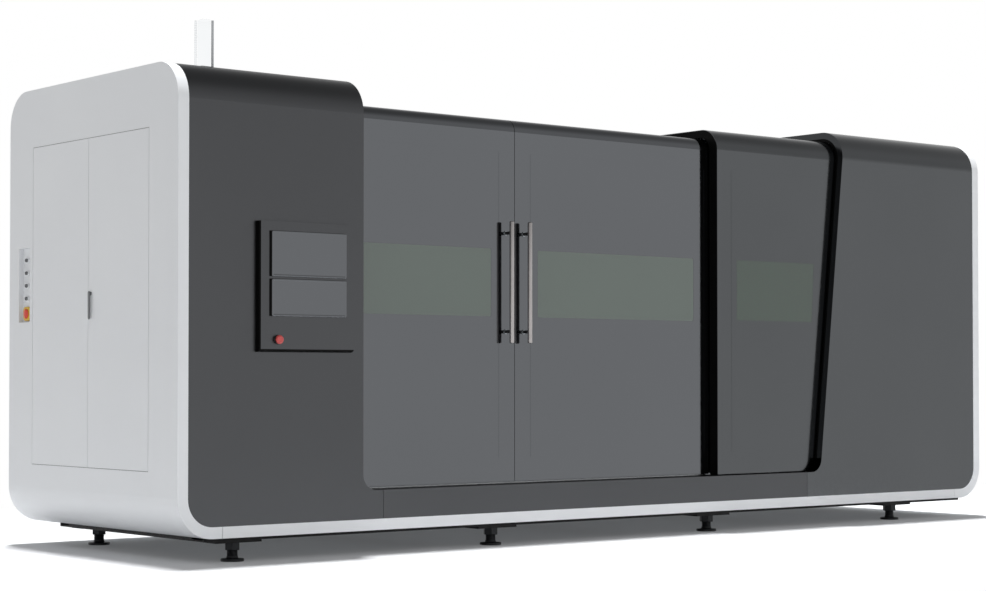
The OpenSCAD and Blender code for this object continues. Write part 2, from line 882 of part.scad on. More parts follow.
module base_frame() {
  color("#1c1d1f") place() difference() {
    union() {
      block([frame_in, frame_s1], [frame_d0, frame_d0 + tube_w], [frame_z, frame_top]);
      block([frame_in, frame_s1], [frame_d1 - tube_w, frame_d1], [frame_z, frame_top]);
      for (i = [0:cross_tubes - 1])
        translate([i * (frame_s1 - frame_in - tube_w) / (cross_tubes - 1), 0, 0])
          block([frame_in, frame_in + tube_w], [frame_d0, frame_d1], [frame_z, frame_top]);
      for (i = [0:feet - 1])
        for (d = [frame_d0, frame_d1 - tube_w])
          translate([foot_s + i * foot_pitch, 0, 0])
            block([-foot_plate_w / 2, foot_plate_w / 2], [d, d + tube_w],
              [frame_z - foot_plate_t, frame_z + 1]);
    }
    for (d = [frame_d0, frame_d1 - tube_w])
      block([frame_in - 1, frame_s1 + 1], [d + tube_t, d + tube_w - tube_t],
        [frame_z + tube_t, frame_top - tube_t]);
  }
}

// A turned pad with a sloped boss and a stem, and the nut under its plate
module levelling_foot() {
  rotate_extrude()
    polygon([[0, 0], [pad_dia / 2, 0], [pad_dia / 2, pad_h], [boss_dia / 2, pad_h],
      [stem_dia / 2, pad_h + boss_h], [stem_dia / 2, frame_z - foot_plate_t], [0, frame_z - foot_plate_t]]);
  translate([0, 0, frame_z - foot_plate_t - nut_h]) cylinder(h = nut_h, d = nut_w, $fn = 6);
}

module levelling_feet() {
  color("#26272a") place()
    for (i = [0:feet - 1])
      for (d = [frame_d0, frame_d1 - tube_w])
        translate([foot_s + i * foot_pitch, d + tube_w / 2, 0]) levelling_foot();
}

module floor_tray() {
  color("#4a4d50") place()
    block([frame_in, frame_s1], [sill_lip + tray_gap, body_d - sill_lip - tray_gap], [frame_top, tray_z]);
}

// Outline of the pale band at one end, with its round lower corner
module band_2d() {
  difference() {
    translate([0, shell_z]) square([sill_seam, body_h]);
    corner_2d(0, shell_z, end_r, 1, 1);
    difference() {
      translate([band_w, sill_z]) square([sill_seam, body_h]);
      corner_2d(band_w, sill_z, end_r - band_w, 1, 1);
    }
  }
}

module shell_cavity_2d() {
  difference() {
    translate([sheet, shell_z + sheet]) square([sill_seam, body_h]);
    corner_2d(sheet, shell_z + sheet, end_r - sheet, 1, 1);
  }
}

module end_shell() {
  difference() {
    intersection() {
      along_d(0, body_d) band_2d();
      along_s(0, sill_seam) hood_2d(0, body_d, shell_z, roof_z, roof_r);
    }
    intersection() {
      along_d(sheet, body_d - sheet) shell_cavity_2d();
      along_s(0, sill_seam + 1) hood_2d(sheet, body_d - sheet, shell_z, roof_z - sheet, roof_r - sheet);
    }
    block([frame_in - frame_gap, sill_seam + 1], [sill_lip, body_d - sill_lip], [shell_z - 1, sill_z]);
  }
}

// Lugs above and below the side opening that take the doors' hinge pins
module hinge_lugs() {
  for (d = hinge_d)
    for (z = [side_z - lug_h, side_z + side_h])
      difference() {
        block([sheet - 1, hinge_in + lug_w / 2], [d - lug_w / 2, d + lug_w / 2], [z, z + lug_h]);
        translate([hinge_in, d, z - 1]) cylinder(h = lug_h + 2, d = hinge_dia + 2 * pin_gap);
      }
}

// Pins at the top and the bottom of a side door
module hinge_pins(d) {
  for (z = [side_z - hinge_l, side_z + side_h - side_gap - sheet / 2])
    translate([hinge_in, d, z]) cylinder(h = hinge_l + side_gap + sheet / 2, d = hinge_dia);
}

module left_end_shell() {
  color("#e9eaeb") place() {
    difference() {
      end_shell();
      block([-1, sheet + 1], [side_d0, side_d1], [side_z, side_z + side_h]);
      block([-1, sheet + 1], [recess_d, recess_d + recess_w], [recess_z, recess_z + recess_h]);
    }
    hinge_lugs();
  }
}

module right_end_shell() {
  color("#e9eaeb") place() translate([body_l, 0, 0]) mirror([1, 0, 0]) end_shell();
}

// Folded sill strip along the front
module sill() {
  block([sill_seam + seam_gap, body_l - sill_seam - seam_gap], [0, sheet], [shell_z, sill_z]);
  block([sill_seam + seam_gap, body_l - sill_seam - seam_gap], [0, sill_lip], [shell_z, shell_z + sheet]);
}

module sills() {
  color("#e9eaeb") place() {
    sill();
    translate([0, body_d, 0]) mirror([0, 1, 0]) sill();
  }
}

// Front outline of the left cover, with a foot that runs into the apron
module left_outline_2d() {
  difference() {
    union() {
      translate([band_w, sill_z]) square([cover_w - band_w, roof_z - sill_z]);
      translate([band_w, sill_z]) square([apron_s0 - band_w, apron_h]);
      corner_2d(cover_w, apron_z, opening_r, 1, 1);
    }
    corner_2d(band_w, sill_z, end_r - band_w, 1, 1);
  }
}

// Section of the folded edge round the opening, from the middle of the cover's sheet inwards
module return_2d() {
  difference() {
    hood_2d(sheet / 2, body_d - sheet / 2, apron_z, roof_z - sheet / 2, roof_r - sheet / 2);
    hood_2d(return_w, body_d - return_w, apron_z - 1, roof_z - return_w, roof_r - return_w);
  }
}

module left_cover() {
  color("#4d4e50") place() {
    intersection() {
      along_s(band_w, apron_s0) hood_sheet_2d(0, sill_z, roof_z, roof_r);
      along_d(-1, body_d + 1) left_outline_2d();
    }
    intersection() {
      block([cover_w - sheet, cover_w], [0, body_d / 2], [apron_z, roof_z]);
      along_s(cover_w - sheet, cover_w) return_2d();
    }
  }
}

// Position of the slanted edge at a height
function slant_at(z) = slant_s + (z - apron_z) * lean;

// The round corner at the foot of the slanted edge
module slant_fillet_2d() {
  difference() {
    polygon([[slant_s + 1, apron_z - 1], [slant_cs, apron_z - 1], [slant_cs, slant_cz],
      [slant_cs + opening_r * cos(slant_deg), slant_cz - opening_r * sin(slant_deg)],
      [slant_at(slant_cz) + 1, slant_cz]]);
    translate([slant_cs, slant_cz]) circle(r = opening_r);
  }
}

// Front outline of the right cover, with its slanted edge and its foot
module right_outline_2d() {
  difference() {
    union() {
      polygon([[apron_s1, sill_z], [right_s, sill_z], [right_s, roof_z], [slant_at(roof_z), roof_z],
        [slant_s, apron_z], [apron_s1, apron_z]]);
      slant_fillet_2d();
    }
    corner_2d(right_s, sill_z, end_r - band_w, -1, 1);
  }
}

// Strip along the slanted edge above its round foot
module slant_strip_2d() {
  polygon([[slant_at(slant_cz) + slant_set, slant_cz], [slant_at(slant_cz) + sheet, slant_cz],
    [slant_at(roof_z) + sheet, roof_z], [slant_at(roof_z) + slant_set, roof_z]]);
}

// The folded edge of the right cover, which at the rear only closes the step over the panel's roof
module slant_return_2d() {
  difference() {
    return_2d();
    translate([body_d / 2, apron_z - 1]) square([body_d, panel_roof + seam_gap - apron_z + 1]);
  }
}

module right_cover() {
  color("#58595b") place() {
    intersection() {
      along_s(apron_s1, right_s) hood_sheet_2d(0, sill_z, roof_z, roof_r);
      along_d(-1, body_d + 1) right_outline_2d();
    }
    intersection() {
      along_d(0, body_d) slant_strip_2d();
      along_s(apron_s1, right_s) slant_return_2d();
    }
  }
}

module apron() {
  color("#55575a") place() {
    block([apron_s0 + seam_gap, apron_s1 - seam_gap], [0, sheet], [sill_z, apron_z]);
    block([apron_s0 + seam_gap, apron_s1 - seam_gap], [0, sill_lip], [sill_z, sill_z + sheet]);
  }
}

module middle_roof() {
  color("#606265") place() along_s(cover_w, panel_s) difference() {
    hood_2d(door_recess, body_d, bend_z, door_roof, door_r);
    hood_2d(door_recess - 1, body_d - sheet, bend_z - 1, door_roof - sheet, door_r - sheet);
    translate([door_recess - 1, bend_z - 1]) square([door_flange + pass_gap + 1, roof_r]);
  }
}

// Ventilation slots in two columns
module louvres(s, z) {
  for (i = [0:louvre_rows - 1])
    for (k = [0, 1])
      translate([s + k * (louvre_l + louvre_gap), 0, z + i * louvre_pitch])
        block([0, louvre_l], [body_d - sheet - 1, body_d + 1], [0, louvre_h]);
}

module rear_panels() {
  color("#58595b") place() difference() {
    union() {
      block([band_w, cover_w - seam_gap], [body_d - sheet, body_d], [sill_z, bend_z]);
      block([cover_w, panel_s - seam_gap], [body_d - sheet, body_d], [sill_z, bend_z]);
      block([panel_s, right_s], [body_d - sheet, body_d], [sill_z, bend_z]);
    }
    louvres(band_w + louvre_in, sill_z + louvre_in);
    louvres(band_w + louvre_in, bend_z - louvre_in - louvres_h);
    louvres(right_s - louvre_in - louvres_l, sill_z + louvre_in);
    along_d(body_d - sheet - 1, body_d + 1) {
      corner_2d(band_w, sill_z, end_r - band_w, 1, 1);
      corner_2d(right_s, sill_z, end_r - band_w, -1, 1);
    }
  }
}

module left_partition() {
  color("#1d1e20") place() along_s(cover_w - 2 * sheet, cover_w - sheet) difference() {
    hood_2d(sheet, body_d - sheet, tray_z, roof_z - sheet, roof_r - sheet);
    translate([door_recess - pass_gap, apron_z - ledge_t - pass_gap])
      square([ledge_d1 - door_recess + 2 * pass_gap, door_roof - apron_z + ledge_t + 2 * pass_gap]);
    translate([door_recess - pass_gap, beam_z - beam_w - pass_gap])
      square([door_flange + beam_w / 2 + pass_gap, beam_w + beam_drop + 2 * pass_gap]);
  }
}

// The groove that frames a pressed field, open at the lower side
module groove(s0, s1, d, z0, z1) {
  block([s0, s1], [d - 1, d + groove_t], [z1 - groove_w, z1]);
  block([s0, s1], [d - 1, d + groove_t], [z0, z0 + groove_w]);
  block([s0, s0 + groove_w], [d - 1, d + groove_t], [z0, z1]);
  block([s1 - groove_w, s1], [d - 1, d + groove_t], [z0, z1]);
}

// Window outline of the fixed panel, with its right side along the slanted edge
module panel_window_2d(grow) {
  polygon([[panel_win_s - grow, panel_win_z - grow], [panel_win_s1 + grow, panel_win_z - grow],
    [panel_win_s1 + panel_win_h * lean / 2 + grow, panel_win_z + panel_win_h + grow],
    [panel_win_s - grow, panel_win_z + panel_win_h + grow]]);
}

// All that lies right of the slanted edge
module beyond_slant_2d() {
  polygon([[slant_s - seam_gap, apron_z], [body_l, apron_z], [body_l, roof_z],
    [slant_at(roof_z) - seam_gap, roof_z]]);
}

module window_panel() {
  color("#5a5c5f") place() difference() {
    along_s(panel_s, slant_at(roof_z) + panel_lap)
      hood_sheet_2d(panel_recess, door_z, panel_roof, panel_r);
    along_d(panel_recess - 1, panel_recess + sheet + 1) panel_window_2d(0);
    along_d(body_d / 2, body_d + 1) beyond_slant_2d();
    groove(panel_s + panel_frame, slant_at(roof_z), panel_recess, groove_z0, groove_z1);
  }
}

module window_panel_pane() {
  color("#5c675d") place() {
    along_d(panel_recess + pane_set, panel_recess + sheet) panel_window_2d(-pane_fit);
    along_d(panel_recess + sheet, panel_recess + sheet + pane_t) panel_window_2d(pane_lap);
  }
}

// Black wall from the fixed panel back to the doors and over the roof
module door_reveal() {
  color("#08090a") place() along_s(panel_s, panel_s + sheet) difference() {
    hood_2d(panel_recess + sheet, body_d - sheet, apron_z, panel_roof - sheet, panel_r - sheet);
    visor_2d(door_recess - pass_gap, flange_d + pass_gap, apron_z - 1, door_roof + pass_gap,
      door_r + pass_gap);
    translate([flange_d + pass_gap - 1, apron_z - 1])
      square([body_d, door_roof - sheet - reveal_lap - apron_z + 1]);
  }
}

// Black wall from the slanted edge back to the fixed panel and over its roof
module slant_reveal() {
  color("#0c0d0e") place() intersection() {
    along_d(0, body_d) slant_strip_2d();
    along_s(apron_s1, right_s) difference() {
      hood_2d(return_w, body_d - return_w, apron_z, roof_z - return_w, roof_r - return_w);
      visor_2d(panel_recess - seam_gap, body_d, apron_z - 1, panel_roof + seam_gap, panel_r + seam_gap);
    }
  }
}

module door_sill() {
  color("#141516") place() {
    block([track_s0, track_s1], [guide_d - ledge_edge, ledge_d1], [apron_z - ledge_t, apron_z]);
    block([cover_w, slant_s], [sheet, guide_d], [apron_z - ledge_t, apron_z]);
    for (i = [0:legs - 1])
      translate([track_s0 + leg_in + i * leg_pitch, 0, 0])
        block([0, leg_w], [guide_d, guide_d + guide_w], [tray_z, apron_z]);
  }
}

module door_beam() {
  color("#2b2d30") place() difference() {
    union() {
      block([track_s0, track_s1], [hanger_d - beam_w / 2, hanger_d + beam_w / 2], [beam_z - beam_w, beam_z]);
      for (s = [cover_w + post_in, track_s1 - beam_w])
        block([s, s + beam_w], [hanger_d - beam_w / 2, hanger_d + beam_w / 2], [tray_z, beam_z]);
    }
    block([track_s0 - 1, track_s1 + 1], [hanger_d - beam_w / 2 + tube_t, hanger_d + beam_w / 2 - tube_t],
      [beam_z - beam_w + tube_t, beam_z - tube_t]);
  }
}

module door_rails() {
  color("#a9adb1") place() {
    block([track_s0, track_s1], [hanger_d - rail_w / 2, hanger_d + rail_w / 2], [beam_z, beam_z + rail_h]);
    difference() {
      block([track_s0, track_s1], [guide_d, guide_d + guide_w], [apron_z, apron_z + guide_h]);
      block([track_s0 - 1, track_s1 + 1], [guide_d + guide_t, guide_d + guide_w - guide_t],
        [apron_z + guide_t, apron_z + guide_h + 1]);
    }
  }
}

// A door of folded sheet with rims, stiffeners and fins in the lower guide
module door_leaf(s, win, field) {
  difference() {
    union() {
      along_s(s[0], s[1]) difference() {
        visor_2d(door_recess, flange_d, door_z, door_roof, door_r);
        visor_2d(door_recess + sheet, flange_d + 1, door_z - 1, door_roof - sheet, door_r - sheet);
      }
      for (x = [s[0], s[1] - sheet])
        block([x, x + sheet], [door_recess, door_recess + door_rim], [rim_z, bend_z]);
      for (z = [rim_z, win_z - pane_lap - 2 * sheet, win_z + win_h + pane_lap + sheet])
        block(s, [door_recess, door_recess + door_rim], [z, z + sheet]);
      for (x = [s[0] + fin_in, s[1] - fin_in - fin_l])
        block([x, x + fin_l], [guide_d + (guide_w - fin_t) / 2, guide_d + (guide_w + fin_t) / 2],
          [apron_z + guide_t + slide_gap, rim_z + 1]);
    }
    along_d(door_recess - 1, door_recess + sheet + 1) window_2d(win, [win_z, win_z + win_h], win_r);
    groove(field[0], field[1], door_recess, groove_z0, groove_z1);
  }
}

// A stepped pane, flush in its opening and lapped behind the sheet
module door_pane(win) {
  along_d(door_recess + pane_set, door_recess + sheet)
    window_2d([win[0] + pane_fit, win[1] - pane_fit], [win_z + pane_fit, win_z + win_h - pane_fit], win_r);
  block([win[0] - pane_lap, win[1] + pane_lap], [door_recess + sheet, door_recess + sheet + pane_t],
    [win_z - pane_lap, win_z + win_h + pane_lap]);
}

module handle_bar(s) {
  translate([s, door_recess - bar_off, bar_z - bar_l / 2]) cylinder(h = bar_l, d = bar_dia);
}

module handle_posts(s) {
  difference() {
    for (z = [bar_z - post_span / 2, bar_z + post_span / 2]) {
      rod_d(s, door_recess - bar_off, door_recess, z, post_dia);
      rod_d(s, door_recess - collar_t, door_recess, z, collar_dia);
    }
    translate([0, 0, -1]) handle_bar(s);
  }
}

// Blocks that hang a door's roof flange on the rail
module door_hangers(s) {
  for (x = [s[0] + hanger_in, s[1] - hanger_in - hanger_l])
    difference() {
      block([x, x + hanger_l], [hanger_d - hanger_w / 2, hanger_d + hanger_w / 2],
        [beam_z + hanger_clear, door_roof - sheet]);
      block([x - 1, x + hanger_l + 1],
        [hanger_d - rail_w / 2 - slide_gap, hanger_d + rail_w / 2 + slide_gap],
        [beam_z, beam_z + rail_h + slide_gap]);
    }
}

module left_door() {
  color("#65676a") place()
    door_leaf([left_s0, left_s1], left_win, [left_s0 + groove_end, left_s1 - groove_in]);
}

module left_door_pane() {
  color("#69736d") place() door_pane(left_win);
}

module left_door_handle() {
  color("#b9bcbf") place() handle_bar(left_s1 - bar_in);
}

module left_door_posts() {
  color("#202224") place() handle_posts(left_s1 - bar_in);
}

module left_door_hangers() {
  color("#7d8286") place() door_hangers([left_s0, left_s1]);
}

module right_door() {
  color("#65676a") place()
    door_leaf([right_s0, right_s1], right_win, [right_s0 + groove_in, right_s1 - groove_end]);
}

module right_door_pane() {
  color("#69736d") place() door_pane(right_win);
}

module right_door_handle() {
  color("#b9bcbf") place() handle_bar(right_s0 + bar_in);
}

module right_door_posts() {
  color("#202224") place() handle_posts(right_s0 + bar_in);
}

module right_door_hangers() {
  color("#7d8286") place() door_hangers([right_s0, right_s1]);
}

module control_box() {
  color("#3a3c3f") place() {
    difference() {
      block([box_s, box_s + box_w], [-box_t, 0], [box_z, box_z + box_h]);
      block([box_s + sheet, box_s + box_w - sheet], [-box_t + sheet, 1],
        [box_z + sheet, box_z + box_h - sheet]);
      rod_d(box_s + stop_s, -box_t - 1, 0, box_z + stop_z, stop_stem + 2 * pin_gap);
    }
    difference() {
      rod_d(box_s + stop_s, -box_t - stop_collar, -box_t + sheet, box_z + stop_z, stop_collar_dia);
      rod_d(box_s + stop_s, -box_t - stop_collar - 1, 0, box_z + stop_z, stop_stem + 2 * pin_gap);
    }
  }
}

module displays() {
  color("#222426") place() {
    for (z = [[disp_up_z, disp_up_z + disp_up_h], [disp_low_z, disp_up_z - disp_gap]])
      block([box_s + disp_left, box_s + box_w - disp_right], [-box_t - disp_t, -box_t], z);
  }
}

module stop_button() {
  color("#c8302c") place() {
    rod_d(box_s + stop_s, -box_t - stop_h, -box_t - stop_h + stop_head, box_z + stop_z, stop_dia);
    rod_d(box_s + stop_s, -box_t - stop_h + 1, -box_t + stop_in, box_z + stop_z, stop_stem);
  }
}

module signal_lamp_base() {
  color("#3a3c3f") place() {
    block([lamp_s - lamp_w / 2 - lamp_foot_w, lamp_s + lamp_w / 2 + lamp_foot_w],
      [lamp_d - lamp_w / 2 - lamp_foot_w, lamp_d + lamp_w / 2 + lamp_foot_w], [roof_z, roof_z + lamp_foot_h]);
    block([lamp_s + lamp_w / 2, lamp_s + lamp_w / 2 + lamp_foot_w],
      [lamp_d - lamp_w / 2, lamp_d + lamp_w / 2], [roof_z, roof_z + lamp_foot_h + lamp_h]);
  }
}

module signal_lamp_lens() {
  color("#c9cfd3") place()
    block([lamp_s - lamp_w / 2, lamp_s + lamp_w / 2], [lamp_d - lamp_w / 2, lamp_d + lamp_w / 2],
      [roof_z + lamp_foot_h, roof_z + lamp_foot_h + lamp_h]);
}

// A pan with its floor toward the inside and its rim at the wall
module side_leaf(d0, d1) {
  difference() {
    block([0, side_rim], [d0, d1], [side_z + side_gap, side_z + side_h - side_gap]);
    block([sheet, side_rim + 1], [d0 + sheet, d1 - sheet],
      [side_z + side_gap + sheet, side_z + side_h - side_gap - sheet]);
  }
}

module side_door_front() {
  color("#d9dbdc") place() {
    difference() {
      side_leaf(side_d0 + side_gap, side_mid - side_gap / 2);
      rod_s(-1, side_rim, lever_d, lever_z, lever_dia + 2 * pin_gap);
    }
    hinge_pins(hinge_d[0]);
  }
}

module side_door_rear() {
  color("#d9dbdc") place() {
    side_leaf(side_mid + side_gap / 2, side_d1 - side_gap);
    hinge_pins(hinge_d[1]);
  }
}

module side_door_lever() {
  color("#1c1d1f") place() {
    rod_s(-lever_proud, side_rim, lever_d, lever_z, lever_dia);
    rod_s(-lever_proud, -lever_proud + lever_t, lever_d, lever_z, lever_w);
    block([-lever_proud, -lever_proud + lever_t], [lever_d - lever_w / 2, lever_d + lever_w / 2],
      [lever_z - lever_l, lever_z]);
    rod_s(sheet + 1, sheet + lever_t, lever_d, lever_z, lever_w);
  }
}

module switch_tray() {
  color("#c3c6c8") place() difference() {
    block([0, recess_t], [recess_d, recess_d + recess_w], [recess_z, recess_z + recess_h]);
    block([-1, recess_floor], [recess_d + sheet, recess_d + recess_w - sheet],
      [recess_z + sheet, recess_z + recess_h - sheet]);
    rod_s(0, recess_t + 1, recess_mid, knob_z, knob_stem + 2 * pin_gap);
  }
}

module connector_sockets() {
  color("#17181a") place()
    for (i = [0:sockets - 1])
      rod_s(recess_floor - socket_h, recess_floor, recess_mid,
        socket_z + i * socket_pitch, socket_dia);
}

module isolator_plate() {
  color("#e2bf2e") place() difference() {
    block([recess_floor - plate_t, recess_floor], [recess_mid - plate_w / 2, recess_mid + plate_w / 2],
      [knob_z - plate_w / 2, knob_z + plate_w / 2]);
    rod_s(0, recess_t + 1, recess_mid, knob_z, knob_stem + 2 * pin_gap);
  }
}

module isolator_knob() {
  color("#c22a26") place() {
    rod_s(recess_floor - plate_t - knob_h / 2, recess_floor - plate_t - slide_gap, recess_mid, knob_z,
      knob_dia);
    block([recess_floor - plate_t - knob_h, recess_floor - plate_t - slide_gap],
      [recess_mid - knob_dia / 2, recess_mid + knob_dia / 2], [knob_z - knob_grip / 2, knob_z + knob_grip / 2]);
    rod_s(recess_floor - plate_t - 1, recess_t + knob_tail, recess_mid, knob_z, knob_stem);
  }
}

// A row of devices on the mounting plate
module gear_row(n, pitch, w, top, h, reach) {
  for (i = [0:n - 1])
    translate([0, gear_d[0] + gear_edge + i * pitch, gear_z - top - h])
      block([gear_s - reach, gear_s + 1], [0, w], [0, h]);
}

// A drive with a sloped front edge over its terminals
module drive_2d() {
  polygon([[gear_s + 1, 0], [gear_s - drive_t + drive_slope, 0], [gear_s - drive_t, drive_slope],
    [gear_s - drive_t, drive_h], [gear_s + 1, drive_h]]);
}

module control_gear() {
  color("#b9bdbf") place() {
    block([gear_s, gear_s + sheet], gear_d, [tray_z, gear_z]);
    for (i = [0:drives - 1])
      translate([0, gear_d[0] + gear_edge + i * drive_pitch, gear_z - drive_top - drive_h])
        along_d(0, drive_w) drive_2d();
    block([gear_s - duct_t, gear_s + 1], [gear_d[0] + gear_edge, gear_d[1] - gear_edge],
      [gear_z - duct_top - duct_h, gear_z - duct_top]);
    gear_row(breakers, breaker_pitch, breaker_w, breaker_top, breaker_h, breaker_t);
    gear_row(1, supply_w, supply_w, supply_top, supply_h, drive_t);
  }
}

module laser_source() {
  color("#2f3a46") place() {
    block([source_s, source_s + source_l], [gear_d[0] + gear_edge, gear_d[1] - gear_edge],
      [tray_z, tray_z + source_h]);
    for (i = [0:source_units - 1])
      translate([0, 0, tray_z + i * unit_h])
        block([source_s - unit_t, source_s + 1],
          [gear_d[0] + gear_edge + unit_gap, gear_d[1] - gear_edge - unit_gap],
          [unit_gap / 2, unit_h - unit_gap / 2]);
  }
}

// A cast box that is open below and ribbed across
module casting(s, d, z) {
  difference() {
    block(s, d, z);
    for (i = [0:bed_ribs]) {
      cell = (s[1] - s[0] - bed_t) / (bed_ribs + 1);
      block([s[0] + bed_t + i * cell, s[0] + (i + 1) * cell], [d[0] + bed_t, d[1] - bed_t],
        [z[0] - 1, z[1] - bed_t]);
    }
  }
}

module bed() {
  color("#6f767c") place() {
    casting([bed_s0, bed_s1], [bed_d0, bed_d0 + bed_w], [tray_z, bed_z]);
    casting([bed_s0, bed_s1], [rear_d, rear_d + rear_w], [tray_z, rear_z]);
    for (i = [0:bridges - 1])
      translate([bed_s0 + i * (bed_s1 - bed_s0 - bridge_l) / (bridges - 1), 0, 0])
        block([0, bridge_l], [bed_d0 + bed_w - 1, rear_d + 1], [tray_z, tray_z + bridge_h]);
  }
}

// Two rails on a bed
module ways(s, d, z) {
  for (x = [d[0] + way_in, d[1] - way_in - way_w])
    block(s, [x, x + way_w], z);
}

module bed_rails() {
  color("#a9adb1") place() {
    ways([chuck_face, bed_s1], [bed_d0, bed_d0 + bed_w], [bed_z, way_top]);
    ways([bed_s0, bed_s1], [rear_d, rear_d + rear_w], [rear_z, rear_top]);
  }
}

module headstock() {
  color("#7c848a") place() difference() {
    union() {
      block([head_s, head_s + head_l], [bed_d0, bed_d0 + bed_w], [bed_z, axis_z]);
      intersection() {
        block([head_s, head_s + head_l], [bed_d0, bed_d0 + bed_w], [axis_z - 1, axis_z + head_up]);
        along_s(head_s, head_s + head_l)
          hood_2d(bed_d0, bed_d0 + bed_w, axis_z - 1, axis_z + head_up, head_r);
      }
    }
    rod_s(spindle_s, head_s + head_l + 1, axis_d, axis_z, spindle_dia + 2 * pin_gap);
  }
}

module spindle_motor() {
  color("#2a2c2f") place() {
    rod_s(head_s + motor_set, head_s + motor_set + motor_l, axis_d, motor_z, motor_dia);
    for (i = [0:motor_fins - 1])
      translate([head_s + motor_set, axis_d, motor_z]) rotate([360 * i / motor_fins, 0, 0])
        block([motor_fin_in, motor_l - motor_fin_in], [-motor_fin_t / 2, motor_fin_t / 2],
          [motor_dia / 3, motor_dia / 2 + motor_fin_h]);
    translate([head_s + motor_set + (motor_l - motor_foot_l) / 2, 0, 0])
      block([0, motor_foot_l], [axis_d - motor_foot_w / 2, axis_d + motor_foot_w / 2],
        [axis_z + head_up, motor_z]);
    rod_s(head_s - 1, head_s + motor_set + 1, axis_d, motor_z, motor_neck);
    along_s(head_s - guard_t, head_s)
      window_2d([axis_d - guard_w / 2, axis_d + guard_w / 2], [axis_z - guard_w / 2, motor_z + guard_w / 2],
        guard_r);
  }
}

module chuck() {
  color("#8d9296") place() difference() {
    turned_s()
      polygon([[chuck_bore / 2, spindle_s + end_gap], [spindle_dia / 2, spindle_s + end_gap],
        [spindle_dia / 2, chuck_s], [chuck_dia / 2, chuck_s], [chuck_dia / 2, chuck_face - chuck_edge],
        [chuck_dia / 2 - chuck_edge, chuck_face], [chuck_bore / 2, chuck_face]]);
    for (i = [0:2])
      translate([0, axis_d, axis_z]) rotate([-120 * i, 0, 0])
        block([chuck_face - slot_t, chuck_face + 1], [-jaw_w / 2 - slide_gap, jaw_w / 2 + slide_gap],
          [0, chuck_dia]);
  }
}

// A stepped jaw that slides out along its slot
module chuck_jaw(i) {
  color("#6a6f73") place() translate([chuck_face, axis_d, axis_z]) rotate([-120 * i, 0, 0])
    along_d(-jaw_w / 2, jaw_w / 2)
      polygon([[slide_gap - slot_t, jaw_r], [jaw_h, jaw_r], [jaw_h, jaw_r + jaw_run],
        [jaw_h - jaw_step, jaw_r + jaw_run], [jaw_h - jaw_step, jaw_r + 2 * jaw_run],
        [jaw_h - 2 * jaw_step, jaw_r + 2 * jaw_run], [jaw_h - 2 * jaw_step, jaw_r + jaw_l],
        [slide_gap - slot_t, jaw_r + jaw_l]]);
}

module chuck_jaw_1() {
  chuck_jaw(0);
}

module chuck_jaw_2() {
  chuck_jaw(1);
}

module chuck_jaw_3() {
  chuck_jaw(2);
}

// Grooves that a sliding piece needs for the two rails under it
module way_grooves(s, d, z) {
  for (x = [d[0] + way_in, d[1] - way_in - way_w])
    block([s[0] - 1, s[1] + 1], [x - slide_gap, x + way_w + slide_gap], [z - way_h - 1, z + slide_gap]);
}

module tailstock() {
  color("#7c848a") place() difference() {
    union() {
      block([tail_s + foot_set, tail_s + tail_l], [bed_d0 + tail_in, bed_d0 + bed_w - tail_in],
        [bed_z + tail_clear, bed_z + tail_h]);
      along_s(tail_s + waist_set, tail_s + tail_l - foot_set)
        polygon([[axis_d - waist_w / 2, bed_z + tail_h - 1], [axis_d + waist_w / 2, bed_z + tail_h - 1],
          [axis_d + neck_w / 2, axis_z], [axis_d - neck_w / 2, axis_z]]);
      rod_s(tail_s, tail_s + tail_l, axis_d, axis_z, barrel_dia);
    }
    way_grooves([tail_s, tail_s + tail_l], [bed_d0, bed_d0 + bed_w], way_top);
    rod_s(tail_s - 1, tail_s + tail_l - barrel_wall, axis_d, axis_z, quill_dia + 2 * pin_gap);
  }
}

module quill() {
  color("#b4b8bb") place() difference() {
    rod_s(centre_s, centre_s + quill_l, axis_d, axis_z, quill_dia);
    rod_s(centre_s - 1, centre_s + shank_l + end_gap, axis_d, axis_z, shank_dia + 2 * pin_gap);
  }
}

module live_centre() {
  color("#9ea3a7") place() translate([centre_s - centre_gap, 0, 0]) turned_s()
    polygon([[0, shank_l], [shank_dia / 2, shank_l], [shank_dia / 2, 0], [centre_dia / 2, 0],
      [centre_dia / 2, -centre_l], [point_dia / 2, -centre_l], [point_tip / 2, -centre_l - point_l],
      [0, -centre_l - point_l]]);
}

module carriage() {
  color("#5f666c") place() translate([carriage_s, 0, 0]) difference() {
    union() {
      block([-carriage_l / 2, carriage_l / 2], [rear_d + saddle_in, rear_d + rear_w - saddle_in],
        [rear_z + saddle_clear, saddle_z]);
      along_s(-column_w / 2, column_w / 2)
        polygon([[rear_mid - column_foot / 2, saddle_z - 1], [rear_mid + column_foot / 2, saddle_z - 1],
          [rear_mid + column_d / 2, column_z], [rear_mid - column_d / 2, column_z]]);
      for (s = [-ram_w / 2 - slide_gap - slab_t, ram_w / 2 + slide_gap])
        block([s, s + slab_t], [rear_mid - column_d / 2, rear_mid + column_d / 2],
          [column_z - 1, column_z + cheek_h]);
    }
    along_d(rear_d, rear_d + rear_w)
      window_2d([-column_win_w / 2, column_win_w / 2],
        [saddle_z + column_win_z, column_z - column_win_top], column_win_r);
    way_grooves([-carriage_l / 2, carriage_l / 2], [rear_d, rear_d + rear_w], rear_top);
  }
}

